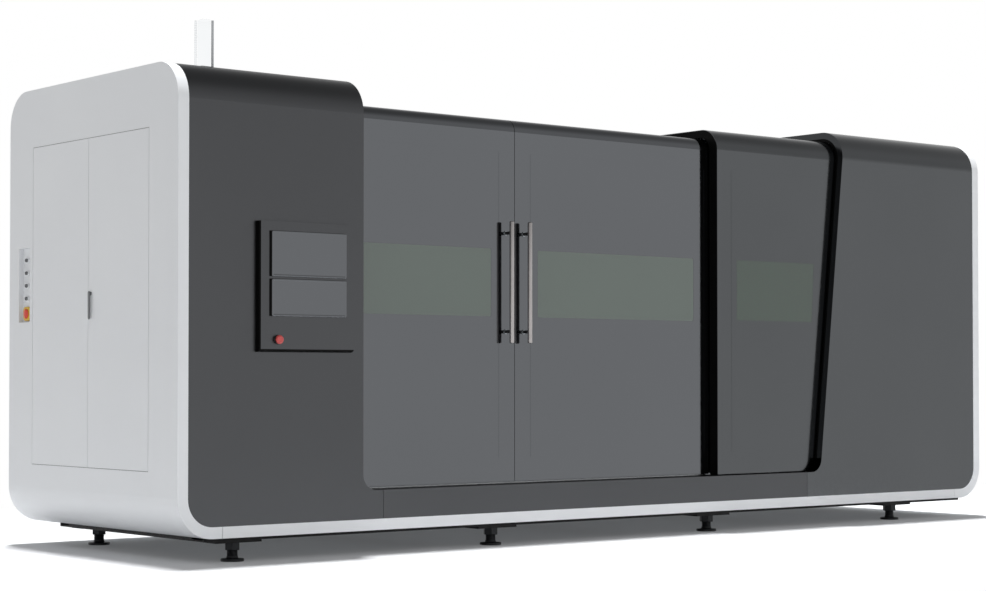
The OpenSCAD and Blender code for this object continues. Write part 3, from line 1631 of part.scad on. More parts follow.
module cross_slide() {
  color("#7c848a") place() translate([carriage_s, 0, 0]) {
    block([-ram_w / 2, ram_w / 2], [ram_d, ram_d + ram_l], [column_z + slide_gap, column_z + ram_h]);
    block([-front_w / 2, front_w / 2], [ram_d, ram_d + slab_t], [front_z - front_h, front_z]);
    for (s = [-ram_w / 2, ram_w / 2 - slab_t])
      along_s(s, s + slab_t)
        polygon([[ram_d + slab_t - 1, column_z + slab_t], [ram_d + slab_t + gusset_l, column_z + slab_t],
          [ram_d + slab_t + gusset_l, column_z + slide_gap], [ram_d + slab_t - 1, column_z - gusset_h]]);
    for (s = [front_way_in - front_w / 2, front_w / 2 - front_way_in - way_w])
      block([s, s + way_w], [ram_d - way_h / 2, ram_d + 1], [front_z - front_h, front_z]);
  }
}

module head_slide() {
  color("#9aa0a4") place() translate([carriage_s, 0, 0]) difference() {
    block([-front_w / 2, front_w / 2], [slide_d, slide_d + zslide_t], [block_z, block_z + zslide_h]);
    for (s = [front_way_in - front_w / 2, front_w / 2 - front_way_in - way_w])
      block([s - slide_gap, s + way_w + slide_gap], [ram_d - way_h / 2 - slide_gap, ram_d + 1],
        [block_z - 1, block_z + zslide_h + 1]);
  }
}

module cladding_head() {
  color("#d7dadc") place() translate([carriage_s, 0, 0]) difference() {
    union() {
      block([-block_w / 2, block_w / 2], [axis_d - block_w / 2, slide_d], [block_z, block_z + block_h]);
      translate([0, axis_d, block_z - focus_l]) cylinder(h = focus_l + 1, d = tube_dia);
      translate([0, axis_d, block_z + block_h - 1]) cylinder(h = coll_l + 1, d = coll_dia);
      translate([0, axis_d, block_z + block_h + coll_l - 1]) cylinder(h = fibre_l + 1, d = fibre_dia);
    }
    translate([0, axis_d, block_z - focus_l - 1]) cylinder(h = focus_l, d = tube_dia - 2 * tube_wall);
  }
}

module nozzle() {
  color("#b8733a") place() translate([carriage_s, axis_d, tip_z]) rotate_extrude()
    polygon([[beam_dia / 2, 0], [tip_dia / 2, 0], [cone_dia / 2, cone_l], [nozzle_dia / 2, cone_l],
      [nozzle_dia / 2, nozzle_l], [beam_dia / 2, nozzle_l]]);
}

module powder_hopper() {
  color("#c8ccce") place() {
    block([carriage_s + column_w / 2, hopper_s], [rear_mid - bracket_w / 2, rear_mid + bracket_w / 2],
      [rear_z + hopper_up, rear_z + hopper_up + bracket_w]);
    translate([hopper_s, rear_mid, rear_z + hopper_up]) rotate_extrude()
      polygon([[0, -funnel_h - spout_l], [spout_dia / 2, -funnel_h - spout_l], [spout_dia / 2, -funnel_h],
        [hopper_dia / 2, 0], [hopper_dia / 2, hopper_h], [hopper_dia / 2 + lid_over, hopper_h],
        [hopper_dia / 2 + lid_over, hopper_h + lid_h], [0, hopper_h + lid_h]]);
  }
}

base_frame();
levelling_feet();
floor_tray();
left_end_shell();
right_end_shell();
sills();
left_cover();
right_cover();
apron();
middle_roof();
rear_panels();
left_partition();
window_panel();
window_panel_pane();
door_reveal();
slant_reveal();
door_sill();
door_beam();
door_rails();
control_box();
displays();
signal_lamp_base();
signal_lamp_lens();
switch_tray();
connector_sockets();
isolator_plate();
control_gear();
laser_source();
bed();
bed_rails();
headstock();
spindle_motor();
left_door();
left_door_pane();
left_door_handle();
left_door_posts();
left_door_hangers();
right_door();
right_door_pane();
right_door_handle();
right_door_posts();
right_door_hangers();
side_door_front();
side_door_rear();
side_door_lever();
isolator_knob();
stop_button();
chuck();
chuck_jaw_1();
chuck_jaw_2();
chuck_jaw_3();
tailstock();
quill();
live_centre();
carriage();
cross_slide();
head_slide();
cladding_head();
nozzle();
powder_hopper();
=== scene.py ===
import math

import bmesh
import bpy
import numpy as np
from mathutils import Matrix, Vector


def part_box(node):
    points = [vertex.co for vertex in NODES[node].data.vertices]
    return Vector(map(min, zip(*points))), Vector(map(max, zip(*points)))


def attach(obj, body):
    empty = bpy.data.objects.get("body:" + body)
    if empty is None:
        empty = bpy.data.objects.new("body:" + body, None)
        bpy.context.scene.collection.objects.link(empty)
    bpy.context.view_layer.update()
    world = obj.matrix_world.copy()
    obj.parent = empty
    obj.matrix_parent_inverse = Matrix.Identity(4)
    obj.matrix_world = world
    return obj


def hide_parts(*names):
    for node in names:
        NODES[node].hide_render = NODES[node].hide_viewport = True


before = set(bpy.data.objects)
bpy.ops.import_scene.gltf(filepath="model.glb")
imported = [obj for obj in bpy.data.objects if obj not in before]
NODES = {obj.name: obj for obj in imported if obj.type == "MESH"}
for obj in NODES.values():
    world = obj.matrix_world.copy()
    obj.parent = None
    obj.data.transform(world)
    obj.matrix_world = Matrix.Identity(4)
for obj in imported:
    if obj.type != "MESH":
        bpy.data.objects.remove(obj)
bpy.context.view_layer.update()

MM = 0.001


def linear(code):
    """sRGB hex to linear RGBA: each channel c becomes ((c + 0.055) / 1.055) ** 2.4, or c / 12.92 when small."""
    c = np.array([int(code[i:i + 2], 16) for i in (1, 3, 5)]) / 255.0
    rgb = np.where(c > 0.04045, ((c + 0.055) / 1.055) ** 2.4, c / 12.92)
    return tuple(float(v) for v in rgb) + (1.0,)


def add(tree, kind, inputs=None, **settings):
    """Adds one node: settings are its properties, inputs are socket values or the sockets that feed it."""
    made = tree.nodes.new(kind)
    for key, value in settings.items():
        setattr(made, key, value)
    for key, value in (inputs or {}).items():
        if isinstance(value, bpy.types.NodeSocket):
            tree.links.new(value, made.inputs[key])
        else:
            made.inputs[key].default_value = value
    return made


def per_mm(size):
    """Texture scale, in cycles a metre, of a pattern whose features are size millimetres apart."""
    return 1000.0 / size


def new_material(name):
    """An empty node material: returns the material, its tree, its output node and its Object coordinates."""
    mat = bpy.data.materials.new(name)
    mat.use_nodes = True
    tree = mat.node_tree
    tree.nodes.clear()
    out = add(tree, "ShaderNodeOutputMaterial")
    place = add(tree, "ShaderNodeTexCoord").outputs["Object"]
    return mat, tree, out, place


def grained(name, dark, light, rough, grain_mm, cloud_mm, bump=0.0, stretch=(1, 1, 1), **sockets):
    """A surface whose colour drifts between two tones over cloud_mm, and whose gloss and relief follow a noise of
    grain_mm."""
    mat, tree, out, place = new_material(name)
    cloud = add(tree, "ShaderNodeTexNoise", {"Vector": place, "Scale": per_mm(cloud_mm), "Detail": 3.0})
    tone = add(tree, "ShaderNodeMix", {"Factor": cloud.outputs["Fac"], "A": linear(dark), "B": linear(light)},
               data_type="RGBA")
    along = add(tree, "ShaderNodeMapping", {"Vector": place, "Scale": stretch})
    grain = add(tree, "ShaderNodeTexNoise",
                {"Vector": along.outputs["Vector"], "Scale": per_mm(grain_mm), "Detail": 2.0})
    gloss = add(tree, "ShaderNodeMapRange",
                {"Value": grain.outputs["Fac"], "From Min": 0.3, "From Max": 0.7,
                 "To Min": rough[0], "To Max": rough[1]})
    inputs = {"Base Color": tone.outputs["Result"], "Roughness": gloss.outputs["Result"]}
    if bump:
        relief = add(tree, "ShaderNodeBump",
                     {"Height": grain.outputs["Fac"], "Strength": bump, "Distance": grain_mm * MM * 0.2})
        inputs["Normal"] = relief.outputs["Normal"]
    inputs.update({key.replace("_", " "): value for key, value in sockets.items()})
    shader = add(tree, "ShaderNodeBsdfPrincipled", inputs)
    tree.links.new(shader.outputs["BSDF"], out.inputs["Surface"])
    return mat


# Sprayed metallic paint under clear lacquer: almost no diffuse part, so its tone is what it mirrors
dark_grey_paint = grained("dark_grey_metallic_paint_sprayed", "#4f5052", "#535456", (0.28, 0.34), 14, 900,
                          bump=0.02, Metallic=1.0)
mid_grey_paint = grained("mid_grey_metallic_paint_sprayed", "#545658", "#5a5c5e", (0.12, 0.18), 14, 900,
                         bump=0.02, Metallic=1.0)
door_paint = grained("light_grey_metallic_paint_sprayed", "#636568", "#67696c", (0.07, 0.11), 16, 1100,
                     bump=0.012, Metallic=1.0)
# Powder coat, baked: a diffuse body with a soft even sheen and a fine orange peel
white_coat = grained("white_powder_coat_baked", "#e2e4e7", "#e8eaec", (0.38, 0.48), 5, 700, bump=0.08,
                     Specular_IOR_Level=0.4)
# Flat black paint swallows nearly all light, so the walls that it covers read as black gaps. It also colours the
# strips of painted shade along the control box and beside its displays
black_flat = grained("black_flat_paint_and_painted_shade", "#030303", "#060606", (0.35, 0.5), 9, 500, bump=0.02,
                     Specular_IOR_Level=0.08)
# Satin black keeps a soft highlight along its edges
black_satin = grained("black_satin_paint_sprayed", "#0b0b0c", "#101112", (0.30, 0.42), 9, 500, bump=0.03)
# Enamel brushed on welded tube is matt and a little uneven
frame_paint = grained("black_enamel_brushed_on_steel", "#070708", "#0c0c0d", (0.42, 0.6), 12, 300, bump=0.08,
                      Specular_IOR_Level=0.2)
# Black oxide leaves steel dark, with a dull metal shine
oxide_steel = grained("black_oxide_steel", "#17181a", "#232528", (0.35, 0.5), 6, 120, bump=0.05, Metallic=0.6)
# Hot-dip zinc shows broad dull flakes
galvanised = grained("galvanised_sheet_dipped", "#9a9fa3", "#b9bdc0", (0.3, 0.5), 40, 90, bump=0.02, Metallic=0.9)
# Ground, brushed and turned steel keep the lines of the tool, drawn coarser than real so that they show
ground_steel = grained("ground_steel", "#b2b5b8", "#c6c9cb", (0.16, 0.26), 3, 200, bump=0.01,
                       stretch=(0.05, 1, 1), Metallic=1.0)
brushed_steel = grained("brushed_stainless_steel", "#a5a1a0", "#b3afae", (0.24, 0.34), 3, 150, bump=0.01,
                        stretch=(1, 1, 0.04), Metallic=1.0)
turned_steel = grained("turned_steel", "#8f9498", "#a5aaad", (0.2, 0.32), 4, 160, bump=0.02, Metallic=1.0)
polished_steel = grained("polished_stainless_steel", "#c2c3c4", "#d0d1d2", (0.08, 0.14), 3, 60, Metallic=1.0)
# Moulded plastics: an even diffuse colour under the fine erosion of the mould
black_plastic = grained("black_moulded_nylon", "#101112", "#18191b", (0.45, 0.6), 3, 80, bump=0.1)
grey_plastic = grained("grey_moulded_nylon", "#6d6f71", "#787a7c", (0.4, 0.52), 3, 80, bump=0.08)
# Extruded rubber has no shine
grey_rubber = grained("grey_extruded_epdm_rubber", "#8b8d8f", "#969899", (0.6, 0.75), 3, 60, bump=0.1)
# ABS takes a smoother mould than nylon, so its colours look cleaner and a little glossier
tray_plastic = grained("pale_grey_moulded_abs", "#b9bcbf", "#c3c6c8", (0.4, 0.5), 3, 120, bump=0.08)
yellow_plastic = grained("yellow_moulded_abs", "#dcae1e", "#e6bd2c", (0.3, 0.4), 3, 60, bump=0.05)
red_plastic = grained("red_moulded_abs", "#bb4644", "#c54f4c", (0.3, 0.4), 3, 50, bump=0.03)
bright_red_plastic = grained("bright_red_moulded_abs", "#d8402c", "#e04a34", (0.3, 0.4), 3, 50, bump=0.03)
# Acrylic is clear. The lens is hollow, with thin walls that hardly bend the light, and the solid post bends it a
# little more, so that its ribs show
lens_plastic = grained("clear_acrylic_moulded", "#f2f5f6", "#fafbfc", (0.04, 0.08), 20, 100,
                       Transmission_Weight=1.0, IOR=1.005)
rib_plastic = grained("frosted_acrylic_extruded", "#eceef0", "#f4f6f7", (0.2, 0.3), 20, 100,
                      Transmission_Weight=1.0, IOR=1.12)
# Dyed polycarbonate with a hard coat: a dark green body under a strong mirror gloss
door_pane = grained("green_laser_safe_polycarbonate", "#37483f", "#3c4d43", (0.06, 0.1), 18, 600, bump=0.008,
                    IOR=1.95)
panel_pane = grained("dark_green_laser_safe_polycarbonate", "#153021", "#1a3526", (0.06, 0.1), 18, 600, bump=0.008,
                     IOR=1.8)
# Enamel on cast iron follows the grain of the sand
cast_paint = grained("grey_enamel_on_cast_iron", "#5c6369", "#6a7178", (0.4, 0.55), 7, 250, bump=0.25)
# Anodised aluminium is a pale, even metal without glare
anodised = grained("clear_anodised_aluminium", "#c4c8cb", "#d2d5d7", (0.3, 0.4), 2, 150, bump=0.02, Metallic=1.0)
# Turned copper is warm and bright
copper = grained("turned_copper", "#b3673a", "#c4774a", (0.2, 0.32), 2, 60, bump=0.02, Metallic=1.0)
# Textured powder coat spreads its highlight over fine grains
source_paint = grained("dark_blue_textured_powder_coat", "#26313d", "#2e3a47", (0.45, 0.6), 3, 200, bump=0.3)

FINISHES = {
    white_coat: ["left_end_shell", "right_end_shell", "sills", "side_door_front", "side_door_rear", "switch_tray"],
    dark_grey_paint: ["left_cover", "apron", "control_box", "rear_panels"],
    mid_grey_paint: ["right_cover", "window_panel", "middle_roof"],
    door_paint: ["left_door", "right_door", "displays"],
    black_flat: ["door_reveal", "slant_reveal", "left_partition", "door_sill"],
    black_satin: ["door_beam", "signal_lamp_base", "spindle_motor"],
    frame_paint: ["base_frame"],
    oxide_steel: ["levelling_feet"],
    galvanised: ["floor_tray", "control_gear"],
    ground_steel: ["door_rails", "bed_rails", "left_door_hangers", "right_door_hangers", "quill", "live_centre"],
    brushed_steel: ["left_door_handle", "right_door_handle"],
    turned_steel: ["chuck", "chuck_jaw_1", "chuck_jaw_2", "chuck_jaw_3"],
    black_plastic: ["left_door_posts", "right_door_posts"],
    grey_plastic: ["side_door_lever", "connector_sockets"],
    door_pane: ["left_door_pane", "right_door_pane"],
    panel_pane: ["window_panel_pane"],
    lens_plastic: ["signal_lamp_lens"],
    yellow_plastic: ["isolator_plate"],
    red_plastic: ["isolator_knob", "stop_button"],
    source_paint: ["laser_source"],
    cast_paint: ["bed", "headstock", "tailstock", "carriage", "cross_slide", "head_slide"],
    anodised: ["cladding_head", "powder_hopper"],
    copper: ["nozzle"],
}
for finish, names in FINISHES.items():
    for name in names:
        mesh = NODES[name].data
        mesh.materials.clear()
        mesh.materials.append(finish)


def reach(node):
    """Lowest and highest corner of a CAD node, in millimetres."""
    return np.array(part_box(node)) * 1000.0


LEFT, FRONT = reach("left_end_shell")[0][:2]


def quads(rows, columns, wrap):
    """Faces of a grid of points, row by row: wrap joins each row's last point to its first."""
    last = columns if wrap else columns - 1
    r, c = np.meshgrid(np.arange(rows - 1), np.arange(last), indexing="ij")
    a = (r * columns + c).ravel()
    b = (r * columns + (c + 1) % columns).ravel()
    return np.stack([a, b, b + columns, a + columns], 1)


def turned(profile, sides=48):
    """A lathe shape about Z: each row of the profile is a radius and a height, carried round a full turn."""
    profile = np.asarray(profile, float)
    angle = np.linspace(0, 2 * np.pi, sides, endpoint=False)
    r, h = profile[:, :1], profile[:, 1:]
    points = np.stack([r * np.cos(angle), r * np.sin(angle), h + 0 * angle], -1)
    return points.reshape(-1, 3), quads(len(profile), sides, True)


def plate(half, radius, profile, corner=7):
    """A rounded plate about Z: each row of the profile is an inset and a height. The outline is a rectangle with
    quarter circles at its corners, drawn smaller by the inset at that height, and both ends are drawn together to
    the middle."""
    inset, height = np.asarray(profile, float).T[:, :, None]
    angle = (np.linspace(0, np.pi / 2, corner) + np.arange(4)[:, None] * np.pi / 2).ravel()
    sign = np.repeat([[1, 1], [-1, 1], [-1, -1], [1, -1]], corner, 0)
    bend = np.maximum(radius - inset, 0.05)
    x = sign[:, 0] * (half[0] - inset - bend) + bend * np.cos(angle)
    y = sign[:, 1] * (half[1] - inset - bend) + bend * np.sin(angle)
    rows = np.stack([x, y, height + 0 * angle], -1)
    ends = rows[[0, -1]] * [0, 0, 1]
    points = np.concatenate([ends[:1], rows, ends[1:]])
    return points.reshape(-1, 3), quads(len(points), 4 * corner, True)


def tube(path, radius, sides=12):
    """A round profile carried along a path: at each point it stands square to the tangent, on two directions made
    from the tangent and one fixed slanted direction. Both ends are drawn together to the path."""
    path, slanted = np.asarray(path, float), [0.37, 0.61, 0.70]
    along = np.gradient(path, axis=0)
    along /= np.linalg.norm(along, axis=1, keepdims=True)
    side = np.cross(along, slanted)
    side /= np.linalg.norm(side, axis=1, keepdims=True)
    up = np.cross(along, side)
    angle = np.linspace(0, 2 * np.pi, sides, endpoint=False)[None, :, None]
    r = np.broadcast_to(radius, len(path))[:, None, None]
    rows = path[:, None] + r * (np.cos(angle) * side[:, None] + np.sin(angle) * up[:, None])
    ends = np.repeat(path[[0, -1], None], sides, 1)
    points = np.concatenate([ends[:1], rows, ends[1:]])
    return points.reshape(-1, 3), quads(len(points), sides, True)


def aimed(shape, way):
    """Turns a shape whose own axis is Z by a quarter turn, so that the axis points along -X, +X, -Y or +Y."""
    (x, y, z), faces = shape[0].T, shape[1]
    turns = {"-x": (-z, y, x), "+x": (z, y, -x), "-y": (x, -z, y), "+y": (x, z, -y)}
    return np.stack(turns[way], 1), faces


def repeated(shape, places):
    """One shape at several places: each place is added to the points, and the faces count on."""
    points, faces = shape
    places = np.asarray(places, float).reshape(-1, 3)
    step = np.arange(len(places))[:, None, None] * len(points)
    return (places[:, None] + points).reshape(-1, 3), (faces + step).reshape(-1, 4)


def joined(*shapes):
    """Several shapes as one: points follow each other, and the faces count on."""
    start = np.cumsum([0] + [len(points) for points, _ in shapes[:-1]])
    return (np.concatenate([points for points, _ in shapes]),
            np.concatenate([faces + k for (_, faces), k in zip(shapes, start)]))


def piece(name, shape, finish, body, replaces=(), crease=35):
    """Makes an object of a computed shape, given in millimetres of the frame, that rides on a body. Points that
    coincide, as at a pole, become one, faces turn outwards, and edges sharper than crease degrees stay sharp."""
    mesh = bpy.data.meshes.new(name)
    mesh.from_pydata((shape[0] * MM).tolist(), [], shape[1].tolist())
    form = bmesh.new()
    form.from_mesh(mesh)
    bmesh.ops.remove_doubles(form, verts=form.verts, dist=1e-7)
    bmesh.ops.dissolve_degenerate(form, edges=form.edges, dist=1e-8)
    bmesh.ops.recalc_face_normals(form, faces=form.faces)
    form.to_mesh(mesh)
    form.free()
    mesh.shade_smooth()
    mesh.set_sharp_from_angle(angle=math.radians(crease))
    mesh.materials.append(finish)
    thing = bpy.data.objects.new(name, mesh)
    bpy.context.scene.collection.objects.link(thing)
    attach(thing, body)
    if replaces:
        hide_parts(*replaces)
    return thing


def dome(radius, height, steps=9):
    """Profile of a domed end, from the pole out: radius r sin t and height e (1 - cos t), with t from zero to a
    quarter turn."""
    t = np.linspace(0, np.pi / 2, steps)
    return np.stack([radius * np.sin(t), height * (1 - np.cos(t))], 1)


def sliding_door(side):
    """Handle bar with domed ends, its two posts, wider where they meet the bar, and a steel flange round each post's
    foot: all are profiles carried round a full turn."""
    low, high = reach(side + "_door_handle")
    length, middle = high[2] - low[2], (low + high) / 2
    cap = dome((high[0] - low[0]) / 2, 5.0)
    bar = np.concatenate([cap, [0, length] + cap[::-1] * [1, -1]])
    piece(side + "_door_bar", repeated(turned(bar), [[middle[0], middle[1], low[2]]]), brushed_steel,
          side + "_sliding_door", [side + "_door_handle"])
    low, high = reach(side + "_door_posts")
    inset = 15
    feet = [[middle[0], high[1], z] for z in (low[2] + inset, high[2] - inset)]
    reached = high[1] - low[1]
    post = [[0, 0], [8, 0], [8, reached - 6], [9.4, reached - 5], [10.6, reached - 3], [10.6, reached],
            [0, reached]]
    piece(side + "_door_bar_posts", repeated(aimed(turned(post), "-y"), feet), black_plastic, side + "_sliding_door",
          [side + "_door_posts"])
    flange = [[8.2, 0], [11.8, 0], [11.8, 2.6], [11.2, 4.0], [9.8, 4.6], [8.2, 4.6], [8.2, 0]]
    piece(side + "_door_post_flanges", repeated(aimed(turned(flange), "-y"), feet), turned_steel,
          side + "_sliding_door")


def quarter_round_shade(corners, widths, y, depth):
    """Quarter-round strip on an upright face, used as painted shade: from t = 0 to a quarter turn it stands depth cos
    t off the face and w sin t beyond the corner line, mitred where two sides meet, with a flat back and closed ends."""
    t = np.linspace(0, np.pi / 2, 9)
    off = np.append(depth * np.cos(t), 0.0)
    beyond = np.append(np.sin(t), 0.0)
    line, out = np.asarray(corners, float)[:, None], np.asarray(widths, float)[:, None]
    flat = line + out * beyond[:, None]
    rows = np.stack([flat[..., 0], y - off + 0 * flat[..., 0], flat[..., 1]], -1)
    ends = rows[[0, -1]] * 0 + rows[[0, -1]].mean(1, keepdims=True)
    points = np.concatenate([ends[:1], rows, ends[1:]])
    return points.reshape(-1, 3), quads(len(points), len(off), True)


def control_box():
    """Black quarter-round strips of painted shade along the left and lower edges of the box and beside each display,
    two rounded display plates with a stepped rim, and the mushroom head of the stop button with its collar, both lathe
    shapes."""
    low, high = reach("control_box")
    # These black strips are painted shade: they stand for the box's shadow and dark reflection on the cover
    corners = [[low[0], high[2]], [low[0], low[2]], [high[0] + 4, low[2]]]
    beside, below = 9, 13
    widths = [[-beside, 0], [-beside, -below], [0, -below]]
    piece("control_box_painted_shade_strip", quarter_round_shade(corners, widths, high[1], 28), black_flat, "machine")
    low, high = reach("displays")
    for name, z0, z1 in (("upper_display", high[2] - 206, high[2]), ("lower_display", low[2], low[2] + 169)):
        half = ((high[0] - low[0]) / 2, (z1 - z0) / 2)
        rim = [[0, 0], [0, 6.4], [0.5, 7.8], [1.6, 8.7], [3.0, 9.0], [9.0, 9.0], [9.8, 8.4], [10.6, 8.4]]
        place = [(low[0] + high[0]) / 2, high[1], (z0 + z1) / 2]
        piece(name, repeated(aimed(plate(half, 7, rim), "-y"), [place]), door_paint, "machine",
              ["displays"])
        # This black strip is painted shade, for the display's shadow and dark reflection beside it
        edge = [[low[0] + 1, z1 - 1], [low[0] + 1, z0 + 1]]
        piece(name + "_painted_shade_strip", quarter_round_shade(edge, [[-beside, 0], [-beside, 0]], high[1], 8), black_flat, "machine")
    low, high = reach("stop_button")
    r, tip = (high[0] - low[0]) / 2, high[1] - low[1]
    head = [[0, 0], [11, 0], [11, tip - 11.2], [16, tip - 11.6], [18.6, tip - 11.4], [r, tip - 9.6], [r, tip - 6.6],
            [r - 0.8, tip - 3.8], [r - 3, tip - 1.4], [r - 6.5, tip - 0.2], [r - 9, tip], [7, tip - 0.6],
            [0, tip - 1]]
    place = [(low[0] + high[0]) / 2, high[1], (low[2] + high[2]) / 2]
    piece("stop_mushroom", repeated(aimed(turned(head, 64), "-y"), [place]), red_plastic, "emergency_stop",
          ["stop_button"])
    collar = [[14.4, 0], [21.5, 0], [21.5, 1.8], [20.4, 3.8], [18.6, 4.5], [15.4, 4.5], [14.4, 3.8], [14.4, 0]]
    place[1] = reach("displays")[1][1]
    piece("stop_collar_ring", repeated(aimed(turned(collar, 64), "-y"), [place]), black_satin, "machine")


def signal_lamp():
    """Square acrylic lens whose outline swells a little at each of its ribs, inset a (1 - cos(2 pi n u)), on a
    rounded foot, with two ribbed posts in opposite corners, radius r + a |sin(pi h / p)|."""
    low, high = reach("signal_lamp_base")
    half, place = (high[:2] - low[:2]) / 2, [(low[0] + high[0]) / 2, (low[1] + high[1]) / 2, low[2]]
    foot = plate(half, 10, [[0, 0], [0, 8], [1, 10.5], [3, 12], [5, 12.4]])
    piece("signal_lamp_foot", repeated(foot, [place]), black_satin, "machine", ["signal_lamp_base"])
    height, u = high[2] - low[2] - 4, np.linspace(0, 1, 109)
    ribs = np.stack([0.35 * (1 - np.cos(2 * np.pi * 18 * u)), 12 + u * (height - 4)], 1)
    top = [[0.4, height + 9.4], [1.6, height + 11.2], [3.6, height + 12]]
    piece("signal_lamp_lens_ribbed", repeated(plate(half - 12, 9, np.concatenate([ribs, top])), [place]),
          lens_plastic, "machine", ["signal_lamp_lens"])
    h = np.linspace(12, height + 8, 90)
    post = np.stack([5.4 + 0.5 * np.abs(np.sin(np.pi * h / 11)), h], 1)
    post = turned(np.concatenate([[[0, 12]], post, [[0, height + 8]]]), 20)
    inset = 8.5
    piece("signal_lamp_front_post", repeated(post, [[high[0] - inset, low[1] + inset, low[2]]]), tray_plastic,
          "machine")
    piece("signal_lamp_rear_post", repeated(post, [[low[0] + inset, high[1] - inset, low[2]]]), rib_plastic,
          "machine")


def connection_recess():
    """Round sockets with a flange, a threaded neck of radius r + a |sin(pi h / p)| and a bore with a centre pin, and
    the isolator: a rounded plate under a turned knob with a rounded grip bar."""
    low, high = reach("connector_sockets")
    y, z = (low[1] + high[1]) / 2, np.linspace(low[2] + 13, high[2] - 13, 4)
    places = [[high[0], y, k] for k in z]
    base = turned([[0, 0], [12.8, 0], [12.8, 7], [12, 8.4], [10.4, 9], [0, 9]])
    piece("socket_flanges", repeated(aimed(base, "-x"), places), white_coat, "machine",
          ["connector_sockets"])
    h = np.linspace(9.4, 16, 28)
    neck = np.stack([8.4 + 0.6 * np.abs(np.sin(np.pi * h / 2)), h], 1)
    bore = [[8.2, 16.6], [7.2, 16.8], [6.8, 16.2], [6.8, 11], [2.2, 11], [2.2, 15], [1.4, 15.8], [0, 16]]
    neck = np.concatenate([[[0, 8.8], [9, 8.8]], neck, bore])
    piece("socket_necks", repeated(aimed(turned(neck), "-x"), places), grey_plastic, "machine",
          ["connector_sockets"])
    low, high = reach("isolator_plate")
    middle = [high[0], (low[1] + high[1]) / 2, (low[2] + high[2]) / 2]
    base = plate((34, 34), 22, [[0, 0], [0, 10], [0.8, 11.4], [2.4, 12]], 14)
    piece("isolator_base", repeated(aimed(base, "-x"), [middle]), yellow_plastic, "machine",
          ["isolator_plate"])
    disc = turned([[0, 12.2], [22.5, 12.2], [23.5, 13], [23.5, 15], [22.4, 16], [20, 16.4], [0, 16.4]], 56)
    grip = plate((22, 7), 6.5, [[0, 15], [0.2, 17], [0.8, 18.6], [2.4, 19.2]])
    piece("isolator_grip", repeated(aimed(joined(disc, grip), "-x"), [middle]), bright_red_plastic, "isolator",
          ["isolator_knob"])


def side_lever():
    """Lever: a flattened oval carried down a straight path, w (1 - 0.2 u) wide and t thick, drawn in by a quarter
    ellipse at each end, on a turned spindle."""
    low, high = reach("side_door_lever")
    length, y = high[2] - low[2], (low[1] + high[1]) / 2
    rows, sides = 41, 28
    u = (1 - np.cos(np.linspace(0, np.pi, rows))) / 2
    drop = np.sqrt(np.clip(1 - np.clip((np.abs(u - 0.5) - 0.42) / 0.08, 0, 1) ** 2, 0, 1))[:, None]
    angle = np.linspace(0, 2 * np.pi, sides, endpoint=False)
    across = 8.4 * (1 - 0.2 * u[:, None]) * drop * np.sign(np.cos(angle)) * np.abs(np.cos(angle)) ** 0.7
    out = 4.4 * drop * np.sign(np.sin(angle)) * np.abs(np.sin(angle)) ** 0.8
    grip = np.stack([low[0] + 4.5 + out, y + across, high[2] - length * u[:, None] + 0 * angle], -1)
    shank = turned([[0, 0], [9, 0], [9, 24], [8.2, 25], [0, 25]])
    place = [[high[0] - 1, y, high[2] - 12]]
    grip = grip.reshape(-1, 3), quads(rows, sides, True)
    piece("side_lever_grip", joined(grip, repeated(aimed(shank, "-x"), place)), grey_plastic, "side_lever",
          ["side_door_lever"])


def side_seals():
    """Bulb seals in the gaps over, under and between the side doors: a round profile carried along each gap."""
    front, rear = reach("side_door_front"), reach("side_door_rear")
    x, step = LEFT + 2.6, np.linspace(0, 1, 3)[:, None]
    y0, y1, z0, z1 = front[0][1], rear[1][1], 401.5, 1928.5
    top = tube([x, y0, z1] + step * [0, y1 - y0, 0], 1.3, 10)
    foot = tube([x, y0, z0] + step * [0, y1 - y0, 0], 1.3, 10)
    piece("side_door_seals", joined(top, foot), grey_rubber, "machine")
    meet = tube([x, (front[1][1] + rear[0][1]) / 2 + 0.2, z0 + 2] + step * [0, 0, z1 - z0 - 4], 1.2, 10)
    piece("side_door_meeting_seal", meet, grey_rubber, "rear_side_door")


def levelling_feet():
    """Feet: a turned pad with a swept neck, a thread of radius r + a |2 frac(h / p - angle / turn) - 1|, a ridge that
    climbs one pitch a turn, and a six-sided nut with turned edges under the frame."""
    low, high = reach("levelling_feet")
    x, y = np.meshgrid(np.linspace(low[0] + 52.5, high[0] - 52.5, 4), [low[1] + 52.4, high[1] - 52.4])
    places = np.stack([x.ravel(), y.ravel(), 0 * x.ravel()], 1)
    t = np.linspace(0, np.pi / 2, 9)
    neck = np.stack([25.5 + 8 * (1 - np.sin(t)), 13 + 7 * (1 - np.cos(t))], 1)
    pad = np.concatenate([[[0, 0], [50.5, 0], [52.5, 2], [52.5, 9.5], [51, 11.6]], neck, [[25.5, 23], [0, 23]]])
    h, angle = np.linspace(21, 52, 39)[:, None], np.linspace(0, 2 * np.pi, 36, endpoint=False)
    r = 23.0 + 1.5 * np.abs(2 * ((h / 5.0 - angle / (2 * np.pi)) % 1) - 1)
    r, h = np.concatenate([0 * r[:1], r, 0 * r[:1]]), np.concatenate([h[:1], h, h[-1:]])
    stem = np.stack([r * np.cos(angle), r * np.sin(angle), h + 0 * angle], -1).reshape(-1, 3)
    nut = turned([[0, 50], [33, 50], [36, 52.4], [36, 82.6], [33, 85], [0, 85]], 6)
    foot = joined(turned(pad, 56), (stem, quads(len(r), len(angle), True)), nut)
    piece("levelling_feet_turned", repeated(foot, places), oxide_steel, "machine", ["levelling_feet"],
          crease=40)


